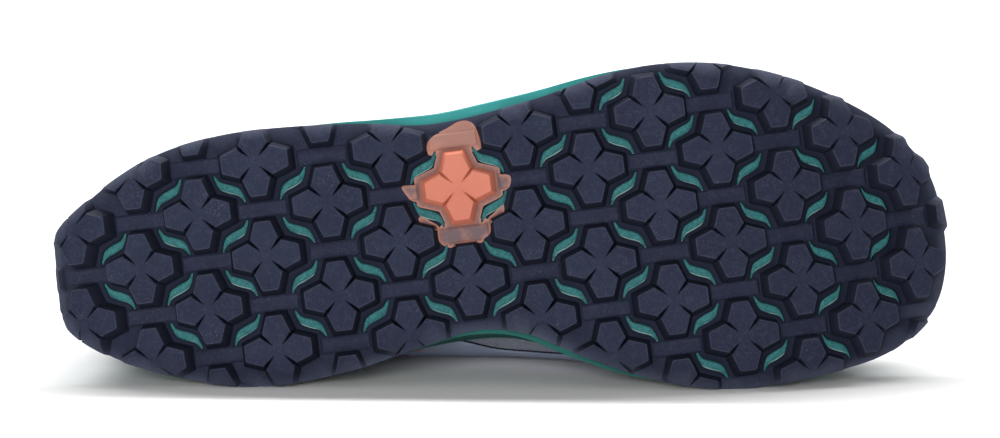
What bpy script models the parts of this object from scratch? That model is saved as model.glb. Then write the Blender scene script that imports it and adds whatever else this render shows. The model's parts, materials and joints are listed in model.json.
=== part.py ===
"""A low-cut lace-up hiking shoe for the right foot, lying on its medial side.

Every form is worked out in the shoe's own frame: x runs forward from the heel, y towards the
medial side and z up from the ground that the tread would stand on. One empty then turns the
whole shoe onto its medial side, sole edge and upper both on the floor.
"""

import math

import bmesh
import bpy
import numpy as np
from mathutils import Matrix, Vector
from mathutils.geometry import delaunay_2d_cdt

MM = 0.001

# Driving sizes of the tread
LUG_HEIGHT = 4.2 * MM
PLATE = 1.6 * MM
GAP = 0.3 * MM
HEEL_BEVEL_LENGTH, HEEL_BEVEL_RISE = 24 * MM, 6 * MM
ARCH_START, ARCH_END, ARCH_RISE = 74 * MM, 164 * MM, 1.6 * MM
TOE_SPRING_START, TOE_SPRING_RISE = 196 * MM, 27 * MM

# Driving sizes of the lug lattice: clover lugs on a centred grid, four petals each
LUG_HALF_PITCH = (20.6 * MM, 14.85 * MM)
LATTICE_ORIGIN = (128.3 * MM, -14.6 * MM)
ROW_BOW, ROW_BOW_SPAN = 1.5 * MM, 82 * MM
# Behind this station the lugs close up by this share of the way that is left
HEEL_CLOSING_FROM, HEEL_CLOSING = 66 * MM, 0.064
LUG_REACH = 12.3 * MM
PETAL_TIP_HALF = 3.6 * MM
LUG_NOTCH = 5.9 * MM
LUG_DRAFT = 1.3 * MM
CROSS_START = 1.7 * MM
CROSS_MOUTH = 0.75 * MM
# A lug at the edge is kept if this share of its sample points, at these shares of its reach, is on
# the sole
LEAST_LUG_SHARE, LUG_SAMPLES = 0.10, (0.35, 0.8)
LATTICE_COLUMNS, LATTICE_ROWS = range(-8, 10), range(-6, 8)
EDGE_PROUD = 0.5 * MM
WINDOW_LENGTH, WINDOW_HALF_WIDTH, WINDOW_TAIL = 5.8 * MM, 1.2 * MM, 3.3 * MM
WINDOW_MARGIN = 1.6 * MM

# Driving sizes of the upper
WALL = 2.2 * MM
# The collar's padding: how thick, the station where it ends and the rows where it starts and is full
COLLAR_PAD, COLLAR_PAD_END, COLLAR_PAD_ROWS = 2.8 * MM, 104 * MM, (0.5, 0.85)
# Sections longer than this in plan lean straight from the topline to their foot
STRAIGHT_LEAN = 45 * MM
COLUMNS = 56
ROWS = (0.0, 0.06, 0.14, 0.26, 0.40, 0.55, 0.69, 0.81, 0.91, 1.0)
TOE_COLUMN = COLUMNS // 2
OVERLAY = 1.1 * MM
INSOLE = 3.4 * MM
TONGUE = 4.0 * MM
LACE_WIDTH, LACE_THICK, LACE_LIFT = 4.6 * MM, 1.4 * MM, 0.9 * MM
LACE_STEPS, LACE_ARCH = 6, 7.5 * MM
# A crossing stops this share of an eyelet's step short of both pairs, the bar this far ahead
LACE_SETBACK, LACE_BAR_AHEAD = 0.25, 3 * MM
EYELET_OUTER, EYELET_INNER, EYELET_RISE, EYELET_SIDES = 3.3 * MM, 1.9 * MM, 0.8 * MM, 9

# Edge of the outsole in plan, in millimetres, from the lateral heel corner round the toe to the
# medial heel corner: (forward, towards the medial side)
OUTSOLE_EDGE = (
    (0.1, -13.0), (3.0, -17.8), (13.7, -25.6), (33.9, -35.9), (58.0, -40.2), (97.0, -38.5),
    (122.0, -35.2), (154.0, -38.6), (179.8, -43.8), (196.0, -44.8), (217.8, -41.7),
    (242.0, -32.5), (266.7, -16.4), (278.3, -1.1), (281.4, 14.5), (280.4, 31.0),
    (274.6, 43.4), (259.4, 54.2), (231.0, 58.9), (204.0, 58.9), (180.4, 52.4), (161.4, 43.3),
    (144.0, 33.6), (129.0, 30.7), (110.8, 33.6), (87.5, 38.2), (60.0, 39.7), (37.6, 34.6),
    (13.7, 24.3), (1.9, 14.8), (-0.6, 8.2),
)

# Midsole, in millimetres: (station, thickness, outward flare past the outsole's edge at the foot
# of the wall on the medial and lateral side, the same at the footbed, height of the lip)
MIDSOLE_TABLE = (
    (0, 19.5, -1.4, -1.4, -4.0, -4.0, 0.9),
    (40, 19.0, -1.4, -1.4, -4.2, -4.2, 0.9),
    (85, 18.0, -0.6, 0.2, -2.6, -1.6, 0.6),
    (128, 15.5, 1.2, 3.0, 1.2, 2.4, 0.2),
    (160, 13.0, 2.0, 2.2, -0.6, 1.2, 0.2),
    (200, 10.5, -1.0, -0.6, -4.0, -3.6, 0.4),
    (240, 8.0, -1.6, -1.6, -5.0, -5.0, 0.7),
    (281, 6.0, -2.2, -2.2, -7.0, -7.0, 1.0),
)
LEDGE = 4.2 * MM
# The midsole's wall, ring by ring: (share of its height, share of the way from the foot's outline
# to the footbed's outline, bulge in millimetres)
MIDSOLE_WALL = ((0.0, 0.0, 0.0), (0.40, 0.5, 0.9), (0.52, 0.66, 0.2), (0.60, 0.72, 0.9), (0.92, 1.0, 0.5))
LIP_THICK, LIP_FALL, LIP_GAP = 1.6 * MM, 0.5 * MM, 0.38 * MM
INSOLE_GAP, INSOLE_ROUND, INSOLE_SIDE = 0.5 * MM, 1.2 * MM, 0.7

# Upper, in millimetres: (station of the section's foot, topline point forward and up, topline
# distance from the throat's middle on the medial and lateral side, belly on the medial and
# lateral side, lower handle up, upper handle down, upper handle out)
UPPER_SECTIONS = (
    (0, 11, 88, 0, 0, 8, 8, 20, 20, 0),
    (16, 18, 86, 16.5, 16.5, 7, 8, 20, 20, 2),
    (42, 42, 79, 25.5, 27, 4, 7, 20, 20, 1),
    (74, 70, 75, 28.5, 30, 7, 8, 20, 18, 3),
    (104, 96, 84, 27, 28, 15, 11, 22, 20, 8),
    (134, 118, 93, 19.5, 19, 25, 12, 21, 15, 19),
    (166, 144, 85, 15, 14, 17, 11, 20, 9, 24),
    (198, 170, 76, 12, 12, 7, 8, 18, 6, 25),
    (226, 191, 70, 10, 10, 5, 6, 17, 3, 28),
    (254, 203, 67.5, 6.5, 6.5, 5, 5, 17, 1, 33),
    (281, 208, 66.5, 0, 0, 6, 6, 17, 0, 42),
)
# Middle of the throat and collar, in millimetres: (forward, towards the medial side)
THROAT_LINE = ((0, -2.5), (60, -1.0), (110, 1.5), (160, 4.5), (208, 8.0), (281, 14.0))

# Panels that cross the toe and the heel, on the upper's own columns: middle column, columns to each
# side, share of the height at the foot, at the top of the middle and at the ends, shape of the arch
TOE_CAP = (TOE_COLUMN, 10.5, 0.15, 0.62, 0.22, 2.6)
HEEL_COUNTER = (0, 8.2, 0.15, 0.70, 0.22, 1.7)
PANEL_ARCH_STEPS = 12
# The eyestays: columns where they start and end, share of the height at their foot there
EYESTAY_COLUMNS, EYESTAY_FOOT, EYESTAY_STEPS = (14, 24), (0.79, 0.90), 5
EYELET_COLUMNS, EYELET_ROW = (15, 16, 17, 18, 19, 20), 8
TONGUE_COLUMNS = (14, 26)
# The tongue's gap under the throat, its crown and shoulders as shares of its span, its free end's
# length and how much that stands up
TONGUE_GAP, TONGUE_CROWN, TONGUE_SHOULDER = 0.45 * MM, 0.16, 0.05
TONGUE_FREE, TONGUE_UPRIGHT = 20 * MM, 0.9
# Free end of the tongue: (share of its length, breadth against the last section under the throat)
TONGUE_TOP = ((0.3, 0.63), (0.7, 0.65), (1.0, 0.58))

COLOURS = {
    "outsole": (0.034, 0.037, 0.062, 0.85),
    "accent": (0.62, 0.22, 0.16, 0.6),
    "midsole": (0.035, 0.22, 0.21, 0.7),
    "upper": (0.115, 0.125, 0.17, 0.8),
    "overlay": (0.15, 0.165, 0.225, 0.6),
    "lining": (0.05, 0.055, 0.075, 0.9),
    "lace": (0.03, 0.19, 0.18, 0.8),
    "eyelet": (0.03, 0.033, 0.05, 0.5),
}
# Weight of each stuff, in kilograms a cubic metre
DENSITY = {
    "outsole": 1150, "accent": 1150, "midsole": 260, "upper": 480,
    "overlay": 900, "lining": 200, "lace": 700, "eyelet": 1200,
}


# Tables and curves


def smooth_value(at, stations, values):
    """A cubic through the table's rows, level past its ends."""
    xs, ys = np.asarray(stations, float), np.asarray(values, float)
    slopes = np.gradient(ys, xs)
    at = np.clip(np.asarray(at, float), xs[0], xs[-1])
    k = np.clip(np.searchsorted(xs, at, side="right") - 1, 0, len(xs) - 2)
    step = xs[k + 1] - xs[k]
    t = (at - xs[k]) / step
    rise = ys[k + 1] - ys[k]
    a, b = slopes[k] * step - rise, rise - slopes[k + 1] * step
    return ys[k] + rise * t + t * (1 - t) * (a * (1 - t) + b * t)


def column(table, index):
    return [row[index] for row in table]


def smooth_chain(points, per_span):
    """Points along a smooth open curve through the given plan points, in metres."""
    p = np.asarray(points, float) * MM
    gaps = np.linalg.norm(np.diff(p, axis=0), axis=1)
    at = np.concatenate([[0], np.cumsum(np.sqrt(gaps))])
    fine = np.linspace(0, at[-1], per_span * len(gaps) + 1)
    return np.stack([smooth_value(fine, at, p[:, k]) for k in (0, 1)], axis=1)


# Side profile of the sole


def floor_height(x):
    """Height of the tread's floor, between the lugs, above the ground."""
    x = np.asarray(x, float)
    heel = np.clip((HEEL_BEVEL_LENGTH - x) / HEEL_BEVEL_LENGTH, 0, 1)
    toe = np.clip((x - TOE_SPRING_START) / (LENGTH - TOE_SPRING_START), 0, 1.2)
    arch = np.clip((x - ARCH_START) / (ARCH_END - ARCH_START), 0, 1)
    return (
        LUG_HEIGHT
        + HEEL_BEVEL_RISE * heel**2
        + ARCH_RISE * np.sin(math.pi * arch) ** 2
        + TOE_SPRING_RISE * toe**2
    )


EDGE = smooth_chain(OUTSOLE_EDGE, 12)
LENGTH = float(EDGE[:, 0].max())
TIP = int(EDGE[:, 0].argmax())
PROFILE_X = np.linspace(-2 * MM, LENGTH + 2 * MM, 400)
PROFILE_Z = floor_height(PROFILE_X)
PROFILE_S = np.concatenate(
    [[0], np.cumsum(np.hypot(np.diff(PROFILE_X), np.diff(PROFILE_Z)))]
)
PROFILE_S += LATTICE_ORIGIN[0] - np.interp(LATTICE_ORIGIN[0], PROFILE_X, PROFILE_S)
SLOPE = np.gradient(PROFILE_Z, PROFILE_X)


def along_sole(x):
    """Distance along the tread's floor, equal to x in the middle of the sole."""
    return np.interp(x, PROFILE_X, PROFILE_S)


def plate_height(x):
    """Height of the midsole's underside, a gap above the plate."""
    slope = np.interp(x, PROFILE_X, SLOPE)
    return floor_height(x) + (PLATE + GAP) * np.sqrt(1 + slope**2)


def on_sole(s, y, lift):
    """The point that lies lift above the tread's floor, along the floor's own normal."""
    x = np.interp(s, PROFILE_S, PROFILE_X)
    turn = math.atan(np.interp(x, PROFILE_X, SLOPE))
    z = np.interp(s, PROFILE_S, PROFILE_Z)
    return Vector((x - lift * math.sin(turn), y, z + lift * math.cos(turn)))


# Outlines in plan, one point for each column of the upper


def edge_columns(count):
    """Plan points and outward normals round the outsole's edge, heel to toe and back."""
    lateral, medial = EDGE[: TIP + 1], EDGE[TIP:][::-1]
    angle = 2 * math.pi * np.arange(count) / count
    x = LENGTH / 2 * (1 - np.cos(angle))
    on_medial = np.interp(x, medial[:, 0], medial[:, 1])
    on_lateral = np.interp(x, lateral[:, 0], lateral[:, 1])
    y = np.where(np.sin(angle) > 0, on_medial, on_lateral)
    y[0] = (medial[0, 1] + lateral[0, 1]) / 2
    points = np.stack([x, y], axis=1)
    along = np.roll(points, -1, axis=0) - np.roll(points, 1, axis=0)
    normals = np.stack([-along[:, 1], along[:, 0]], axis=1)
    return points, normals / np.linalg.norm(normals, axis=1)[:, None]


def by_side(x, medial_share, table, medial, lateral):
    stations = np.array(column(table, 0)) * MM
    m = smooth_value(x, stations, np.array(column(table, medial)) * MM)
    q = smooth_value(x, stations, np.array(column(table, lateral)) * MM)
    return m * medial_share + q * (1 - medial_share)


EDGE_POINTS, EDGE_NORMALS = edge_columns(COLUMNS)
# 1 on the medial side and 0 on the lateral side, passing smoothly round heel and toe
MEDIAL_SHARE = 0.5 + 0.5 * np.clip(
    3.0 * np.sin(2 * math.pi * np.arange(COLUMNS) / COLUMNS), -1, 1
)


def midsole_outline(medial, lateral):
    flare = by_side(EDGE_POINTS[:, 0], MEDIAL_SHARE, MIDSOLE_TABLE, medial, lateral)
    return EDGE_POINTS + EDGE_NORMALS * flare[:, None]


def midsole_thickness(x):
    stations = np.array(column(MIDSOLE_TABLE, 0)) * MM
    return smooth_value(x, stations, np.array(column(MIDSOLE_TABLE, 1)) * MM)


def bed_height(x):
    """Height of the midsole's top, where the insole and the upper's edge sit."""
    return plate_height(x) + midsole_thickness(x)


# The upper's own surface


def upper_grid():
    """Outer surface, inner surface and normals of the upper: one row of points a section."""
    foot = midsole_outline(4, 5) - EDGE_NORMALS * LEDGE
    station = EDGE_POINTS[:, 0]
    stations = np.array(column(UPPER_SECTIONS, 0)) * MM

    def part(index):
        return smooth_value(station, stations, np.array(column(UPPER_SECTIONS, index)) * MM)

    def sided(medial, lateral):
        return by_side(station, MEDIAL_SHARE, UPPER_SECTIONS, medial, lateral)

    side = np.sign(np.sin(2 * math.pi * np.arange(COLUMNS) / COLUMNS).round(9))
    top_x, top_z = part(1), part(2)
    throat = np.array(THROAT_LINE) * MM
    middle = smooth_value(top_x, throat[:, 0], throat[:, 1])
    half = np.where(side > 0, part(3), part(4)) * np.abs(side)
    first = np.column_stack([foot, bed_height(foot[:, 0]) + GAP])
    last = np.column_stack([top_x, middle + side * half, top_z])
    out = np.column_stack([EDGE_NORMALS, np.zeros(COLUMNS)])
    reach = (first - last) * (1, 1, 0)
    far = np.linalg.norm(reach, axis=1)[:, None]
    pull = np.clip(far / STRAIGHT_LEAN, 0, 1)
    lean = out * (1 - pull) + reach / np.maximum(far, 1e-6) * pull
    lean /= np.linalg.norm(lean, axis=1)[:, None]
    up = np.array((0, 0, 1.0))
    second = first + out * sided(5, 6)[:, None] + up * part(7)[:, None]
    third = last + lean * part(9)[:, None] - up * part(8)[:, None]
    t = np.array(ROWS)[None, :, None]
    controls = [c[:, None, :] for c in (first, second, third, last)]
    outer = sum(
        weight * control
        for weight, control in zip(
            ((1 - t) ** 3, 3 * t * (1 - t) ** 2, 3 * t**2 * (1 - t), t**3), controls
        )
    )
    around = np.roll(outer, -1, axis=0) - np.roll(outer, 1, axis=0)
    rising = np.gradient(outer, axis=1)
    normals = np.cross(rising, around)
    normals /= np.linalg.norm(normals, axis=2)[:, :, None]
    normals *= np.sign((normals[:, 2:5] * out[:, None, :]).sum(axis=(1, 2)))[:, None, None]
    padded = np.clip(3 * (1 - station / COLLAR_PAD_END), 0, 1)[:, None]
    pad = padded * np.interp(ROWS, COLLAR_PAD_ROWS, (0, 1))[None, :]
    inward = normals * (WALL + COLLAR_PAD * pad)[:, :, None]
    inward[:, 0] = out * WALL
    return outer, outer - inward, normals


OUTER, INNER, NORMALS = upper_grid()


# Mesh helpers


def new_object(name, bm, colour, smooth_angle=None):
    bmesh.ops.recalc_face_normals(bm, faces=bm.faces[:])
    mesh = bpy.data.meshes.new(name)
    bm.to_mesh(mesh)
    bm.free()
    if smooth_angle is not None:
        mesh.shade_smooth()
        mesh.set_sharp_from_angle(angle=math.radians(smooth_angle))
    return place(bpy.data.objects.new(name, mesh), colour)


def place(obj, colour):
    obj.data.materials.append(MATERIALS[colour])
    obj.parent = REST
    bpy.context.scene.collection.objects.link(obj)
    return obj


def ring(bm, points):
    return [bm.verts.new(p) for p in points]


def wall(bm, low, high, closed=True):
    """Quads between two rows of vertices."""
    count = len(low)
    for i in range(count if closed else count - 1):
        j = (i + 1) % count
        bm.faces.new((low[i], low[j], high[j], high[i]))


def ladder(bm, loop):
    """Closes a heel to toe ring of vertices with rungs from side to side."""
    count = len(loop)
    half = count // 2
    bm.faces.new((loop[0], loop[1], loop[-1]))
    for i in range(1, half - 1):
        bm.faces.new((loop[i], loop[i + 1], loop[count - i - 1], loop[count - i]))
    bm.faces.new((loop[half - 1], loop[half], loop[half + 1]))


def solid_from_rings(name, rings, colour, smooth_angle):
    """A closed body through a stack of rings, with its first and last ring filled."""
    bm = bmesh.new()
    loops = [ring(bm, points) for points in rings]
    for low, high in zip(loops, loops[1:]):
        wall(bm, low, high)
    ladder(bm, loops[0])
    ladder(bm, loops[-1])
    return new_object(name, bm, colour, smooth_angle)


def shell(name, outside, inside, colour, closed):
    """A thin-walled body between two grids of points, closed round its rims."""
    bm = bmesh.new()
    skins = []
    for grid in (outside, inside):
        rows = [ring(bm, grid[:, j]) for j in range(grid.shape[1])]
        for low, high in zip(rows, rows[1:]):
            wall(bm, low, high, closed)
        skins.append(rows)
    for k in (0, -1):
        wall(bm, skins[0][k], skins[1][k], closed)
    if not closed:
        for k in (0, -1):
            wall(bm, [r[k] for r in skins[0]], [r[k] for r in skins[1]], False)
    return new_object(name, bm, colour, 50)


# Outsole


def clover(inset):
    """Corners of one lug's outline, petal by petal, inset from its foot."""
    corners = []
    edge = Vector((LUG_REACH - LUG_NOTCH, PETAL_TIP_HALF - LUG_NOTCH)).normalized()
    slope = edge.y / edge.x
    notch = LUG_NOTCH - inset / (edge.x - edge.y)
    reach = LUG_REACH - inset
    tip = notch + slope * (reach - notch)
    for turn in range(4):
        for point in ((notch, -notch), (reach, -tip), (reach, tip)):
            corners.append(Matrix.Rotation(turn * math.pi / 2, 2) @ Vector(point))
    return corners


def clover_top():
    """The lug's top face: the inset clover, cut by four tapering grooves towards its middle."""
    plain = clover(LUG_DRAFT)
    corners = []
    for turn in range(4):
        notch, low, high = plain[3 * turn : 3 * turn + 3]
        before = plain[3 * turn - 1]
        corners.append(notch + (before - notch).normalized() * CROSS_MOUTH)
        corners.append(notch.normalized() * CROSS_START * math.sqrt(2))
        corners.append(notch + (low - notch).normalized() * CROSS_MOUTH)
        corners += [low, high]
    return corners


def lug_height(offset):
    """Height of the tread at an offset from a lug's middle: full on top, nothing past the foot."""
    a, b = sorted((abs(offset.x), abs(offset.y)), reverse=True)
    edge = Vector((LUG_REACH - LUG_NOTCH, PETAL_TIP_HALF - LUG_NOTCH)).normalized()
    from_side = (LUG_NOTCH - b) * edge.x + (a - LUG_NOTCH) * edge.y
    share = min(LUG_REACH - a, from_side) / LUG_DRAFT
    return LUG_HEIGHT * max(0.0, min(1.0, share))


def row_shift(s):
    """The rows of lugs bow towards the medial side in the middle of the sole."""
    return -ROW_BOW * min(1.1, abs(s - LATTICE_ORIGIN[0]) / ROW_BOW_SPAN) ** 2


def lattice():
    """(column, row, middle) of every place on the grid, past the sole's edge on all sides."""
    for i in LATTICE_COLUMNS:
        for j in LATTICE_ROWS:
            if (i + j) % 2 == 0:
                s = LATTICE_ORIGIN[0] + i * LUG_HALF_PITCH[0]
                s += HEEL_CLOSING * max(0.0, HEEL_CLOSING_FROM - s)
                y = LATTICE_ORIGIN[1] + j * LUG_HALF_PITCH[1]
                yield i, j, Vector((s, y + row_shift(s)))


def inside(point, polygon):
    """True if the plan point is within the polygon."""
    x, y = polygon[:, 0], polygon[:, 1]
    x2, y2 = np.roll(x, -1), np.roll(y, -1)
    crosses = (y > point[1]) != (y2 > point[1])
    at = x + (point[1] - y) * (x2 - x) / np.where(y2 == y, 1e-12, y2 - y)
    return bool((crosses & (point[0] < at)).sum() % 2)


def room(point, polygon):
    """Distance from a plan point to the polygon's edge."""
    p, q = polygon, np.roll(polygon, -1, axis=0)
    along = q - p
    t = ((np.array(point) - p) * along).sum(1) / (along**2).sum(1)
    nearest = p + np.clip(t, 0, 1)[:, None] * along
    return float(np.linalg.norm(nearest - np.array(point), axis=1).min())


def window(first, second):
    """An S-shaped slit through the plate, in the channel between two lugs."""
    across = second - first
    flip = 1 if across.y > 0 else -1
    edge = Vector((LUG_REACH - LUG_NOTCH, flip * (PETAL_TIP_HALF - LUG_NOTCH))).normalized()
    side = Vector((-edge.y, edge.x)) * flip
    tail = Vector((-flip * edge.y, -flip * edge.x))
    middle = (first + second) / 2
    start, end = middle - edge * WINDOW_LENGTH / 2, middle + edge * WINDOW_LENGTH / 2
    wide = side * WINDOW_HALF_WIDTH
    corners = [
        start - tail * WINDOW_TAIL, start - wide, end - wide,
        end + tail * WINDOW_TAIL, end + wide, start + wide,
    ]
    return corners[::flip]


def profile_stations():
    """Distances along the sole where its profile turns, close together at heel and toe."""
    heel = np.linspace(0, HEEL_BEVEL_LENGTH, 5)
    arch = np.linspace(ARCH_START, ARCH_END, 7)
    toe = np.linspace(TOE_SPRING_START, LENGTH, 11)
    return along_sole(np.concatenate([heel, arch, toe])[1:-1])


def split_at(polygon, stations):
    """The polygon with a corner added wherever a side crosses a station."""
    found = []
    for p, q in zip(polygon, list(polygon[1:]) + [polygon[0]]):
        p, q = Vector(p), Vector(q)
        cuts = [(s - p.x) / (q.x - p.x) for s in stations if (s - p.x) * (s - q.x) < 0]
        found += [p] + [p.lerp(q, t) for t in sorted(cuts)]
    return found


def sole_outline():
    """The outsole's edge as a polygon of distances along the sole and across it."""
    points = EDGE[::4]
    return np.column_stack([along_sole(points[:, 0]), points[:, 1]])


def triangulated(loops, edges=()):
    """Triangles between closed loops of plan points, and for each the loops that hold it."""
    points, faces = [], []
    for loop in loops:
        faces.append(list(range(len(points), len(points) + len(loop))))
        points += [Vector(p) for p in loop]
    lines = []
    for p, q in edges:
        lines.append((len(points), len(points) + 1))
        points += [Vector(p), Vector(q)]
    made = delaunay_2d_cdt(points, lines, faces, 1, 1e-7, True)
    return made[0], made[2], made[5], made[3]


def boundary_loops(triangles):
    """The open edges of a set of triangles, chained into loops: the outline, then the holes."""
    follows = {}
    edges = {(t[k], t[(k + 1) % 3]) for t in triangles for k in range(3)}
    for a, b in edges:
        if (b, a) not in edges:
            follows[a] = b
    loops = []
    while follows:
        start, at = next(iter(follows.items()))
        loop = [start]
        del follows[start]
        while at != start:
            loop.append(at)
            at = follows.pop(at)
        loops.append(loop)
    loops.sort(key=len, reverse=True)
    return loops[:1] + [hole[::-1] for hole in loops[1:]]


def outward_normals(points, loop):
    """For each point of a counter-clockwise loop, the plan direction out of it."""
    found = {}
    for before, k, after in zip(loop[-1:] + loop[:-1], loop, loop[1:] + loop[:1]):
        along = points[after] - points[before]
        found[k] = Vector((along.y, -along.x)).normalized()
    return found


def tread_pieces():
    """The lugs and slits that the sole's edge leaves room for, and the accent lug's place."""
    edge = sole_outline()
    lugs, places = [], {}
    for i, j, middle in lattice():
        share = np.mean([inside(middle + p * k, edge) for p in clover(0) for k in LUG_SAMPLES])
        if share > LEAST_LUG_SHARE:
            places[i, j] = middle
            lugs.append(middle)
    slits = []
    for (i, j), first in places.items():
        for step in (-1, 1):
            second = places.get((i + 1, j + step))
            if second is None:
                continue
            slit = window(first, second)
            if all(inside(p, edge) and room(p, edge) > WINDOW_MARGIN for p in slit):
                slits.append(slit)
    accent = places[0, 0]
    return edge, [m for m in lugs if m != accent], slits, accent


def build_outsole():
    """The plate with its lugs, slits and the accent lug's seat, as one closed body."""
    edge, lugs, slits, accent = tread_pieces()
    stations = profile_stations()
    seat = [accent + p for p in clover(-GAP)]
    holes = [split_at(loop, stations) for loop in [*slits, seat]]
    outline = split_at(edge, stations)
    feet = [[m + p for p in clover(0)] for m in lugs]
    tops = [[m + p for p in clover_top()] for m in lugs]
    grooves = []
    for m in lugs:
        foot, top = clover(0), clover_top()
        grooves += [(m + foot[3 * k], m + top[5 * k + 1]) for k in range(4)]
    verts, faces, held, _ = triangulated([outline, *holes, *feet, *tops], grooves)
    void = set(range(1, 1 + len(holes)))
    kept = [f for f, loops in zip(faces, held) if 0 in loops and not void & set(loops)]
    grid = np.array([(m.x, m.y) for m in lugs])
    loops = boundary_loops(kept)
    outward = outward_normals(verts, loops[0])
    bm = bmesh.new()
    tread = {}
    for k in sorted({k for f in kept for k in f}):
        p = verts[k]
        nearest = lugs[int(np.linalg.norm(grid - np.array(p), axis=1).argmin())]
        rise = lug_height(p - nearest)
        if k in outward:
            p = p + outward[k] * EDGE_PROUD * rise / LUG_HEIGHT
        tread[k] = bm.verts.new(on_sole(p.x, p.y, -rise))
    for f in kept:
        bm.faces.new([tread[k] for k in f])
    rungs = [((s, -LENGTH), (s, LENGTH)) for s in stations]
    flat = [[verts[k] for k in loop] for loop in loops]
    order = [k for loop in loops for k in loop]
    top_verts, top_faces, top_held, came_from = triangulated(flat, rungs)
    upper_side = {}
    twin = {}
    for k, sources in enumerate(came_from):
        for source in sources:
            if source < len(order):
                twin[order[source]] = k
    for f, loops_in in zip(top_faces, top_held):
        if loops_in == [0]:
            for k in f:
                if k not in upper_side:
                    p = top_verts[k]
                    upper_side[k] = bm.verts.new(on_sole(p.x, p.y, PLATE))
            bm.faces.new([upper_side[k] for k in f])
    for loop in loops:
        wall(bm, [tread[k] for k in loop], [upper_side[twin[k]] for k in loop])
    return new_object("outsole", bm, "outsole")


def build_accent_lug():
    """The one lug in a second rubber, seated through the plate."""
    accent = tread_pieces()[3]
    foot, top = clover(0), clover_top()
    bm = bmesh.new()

    def level(corners, lift):
        return ring(bm, [on_sole(accent.x + p.x, accent.y + p.y, lift) for p in corners])

    base = level(foot, PLATE)
    sole = level(foot, 0)
    face = level(top, -LUG_HEIGHT)
    wall(bm, base, sole)
    bm.faces.new(base)
    bm.faces.new(face)
    for turn in range(4):
        before, notch, low, high = (3 * turn - 1, 3 * turn, 3 * turn + 1, 3 * turn + 2)
        mouth, apex, far, tip, end = range(5 * turn, 5 * turn + 5)
        bm.faces.new((sole[before], sole[notch], face[mouth], face[5 * turn - 1]))
        bm.faces.new((sole[notch], face[apex], face[mouth]))
        bm.faces.new((sole[notch], face[far], face[apex]))
        bm.faces.new((sole[notch], sole[low], face[tip], face[far]))
        bm.faces.new((sole[low], sole[high], face[end], face[tip]))
    bmesh.ops.triangulate(bm, faces=bm.faces[:])
    return new_object("accent_lug", bm, "accent")


# Midsole and insole


def with_height(outline, height):
    return np.column_stack([outline, height])


def build_midsole():
    """The foam midsole: a stepped wall, a lip that hugs the upper and a flat bed."""
    foot = midsole_outline(2, 3)
    ledge = midsole_outline(4, 5)
    base = plate_height(foot[:, 0])
    bed = bed_height(ledge[:, 0])
    rings = []
    for share, across, bulge in MIDSOLE_WALL:
        outline = foot + (ledge - foot) * across + EDGE_NORMALS * bulge * MM
        rings.append(with_height(outline, base + share * (bed - base)))
    lip = by_side(EDGE_POINTS[:, 0], MEDIAL_SHARE, MIDSOLE_TABLE, 6, 6)[:, None] / MM
    low, high = OUTER[:, 1], OUTER[:, 2]
    out = np.column_stack([EDGE_NORMALS, np.zeros(COLUMNS)])
    up = np.array((0, 0, 1.0))
    inner_low = low + NORMALS[:, 1] * LIP_GAP
    inner_top = low + (high - low) * lip + NORMALS[:, 1] * LIP_GAP
    corner = OUTER[:, 0] + out * LIP_GAP - up * GAP
    rings += [inner_top + out * LIP_THICK - up * LIP_FALL, inner_top, inner_low, corner]
    return solid_from_rings("midsole", rings, "midsole", 40)


def build_insole():
    """A flat footbed inside the upper's wall."""
    inset = INNER[:, 0, :2] - EDGE_NORMALS * INSOLE_GAP
    height = bed_height(inset[:, 0])
    rounded = inset - EDGE_NORMALS * INSOLE_ROUND
    rings = [
        with_height(inset, height + GAP),
        with_height(inset, height + GAP + INSOLE * INSOLE_SIDE),
        with_height(rounded, height + GAP + INSOLE),
    ]
    return solid_from_rings("insole", rings, "lining", 40)


# Upper, its overlays, tongue and lacing


def build_upper():
    return shell("upper", OUTER, INNER, "upper", True)


def skin(column_at, share):
    """Place and outward normal on the upper, at a column and a share of the height."""
    first = math.floor(column_at)
    t = column_at - first
    found = []
    for grid in (OUTER, NORMALS):
        near, far = grid[first % COLUMNS], grid[(first + 1) % COLUMNS]
        line = near * (1 - t) + far * t
        found.append(np.array([np.interp(share, ROWS, line[:, k]) for k in range(3)]))
    return found


def panel(name, outline, colour="overlay"):
    """A piece cut from the upper's own skin along an outline, raised and thickened outwards."""
    columns = [p[0] for p in outline]
    low, high = math.floor(min(columns)), math.ceil(max(columns))
    lines = [((c, 0), (c, 1)) for c in range(low, high + 1)]
    lines += [((low - 1, share), (high + 1, share)) for share in ROWS[1:-1]]
    verts, faces, held, _ = triangulated([outline], lines)
    kept = [f for f, loops in zip(faces, held) if loops == [0]]
    bm = bmesh.new()
    inner, outer = {}, {}
    for k in sorted({k for f in kept for k in f}):
        foot, away = skin(*verts[k])
        inner[k] = bm.verts.new(foot + away * GAP)
        outer[k] = bm.verts.new(foot + away * (GAP + OVERLAY))
    for f in kept:
        bm.faces.new([outer[k] for k in f])
        bm.faces.new([inner[k] for k in reversed(f)])
    for loop in boundary_loops(kept):
        wall(bm, [inner[k] for k in loop], [outer[k] for k in loop])
    return new_object(name, bm, colour, 50)


def arched_outline(middle, spread, foot, top, end, shape):
    """A level foot and an arched top, as columns and shares of the height."""
    outline = [(middle - spread, foot), (middle + spread, foot)]
    for across in np.linspace(1, -1, PANEL_ARCH_STEPS + 1):
        rise = 1 - abs(across) ** shape
        outline.append((middle + spread * across, end + (top - end) * rise))
    return outline


def eyestay_outline():
    """A band along the throat's rim whose foot rises towards the toe."""
    start, stop = EYESTAY_COLUMNS
    outline = []
    for share in np.linspace(0, 1, EYESTAY_STEPS + 1):
        foot = EYESTAY_FOOT[0] + (EYESTAY_FOOT[1] - EYESTAY_FOOT[0]) * share**2
        outline.append((start + (stop - start) * share, foot))
    return outline + [(stop, 1.0), (start, 1.0)]


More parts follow.
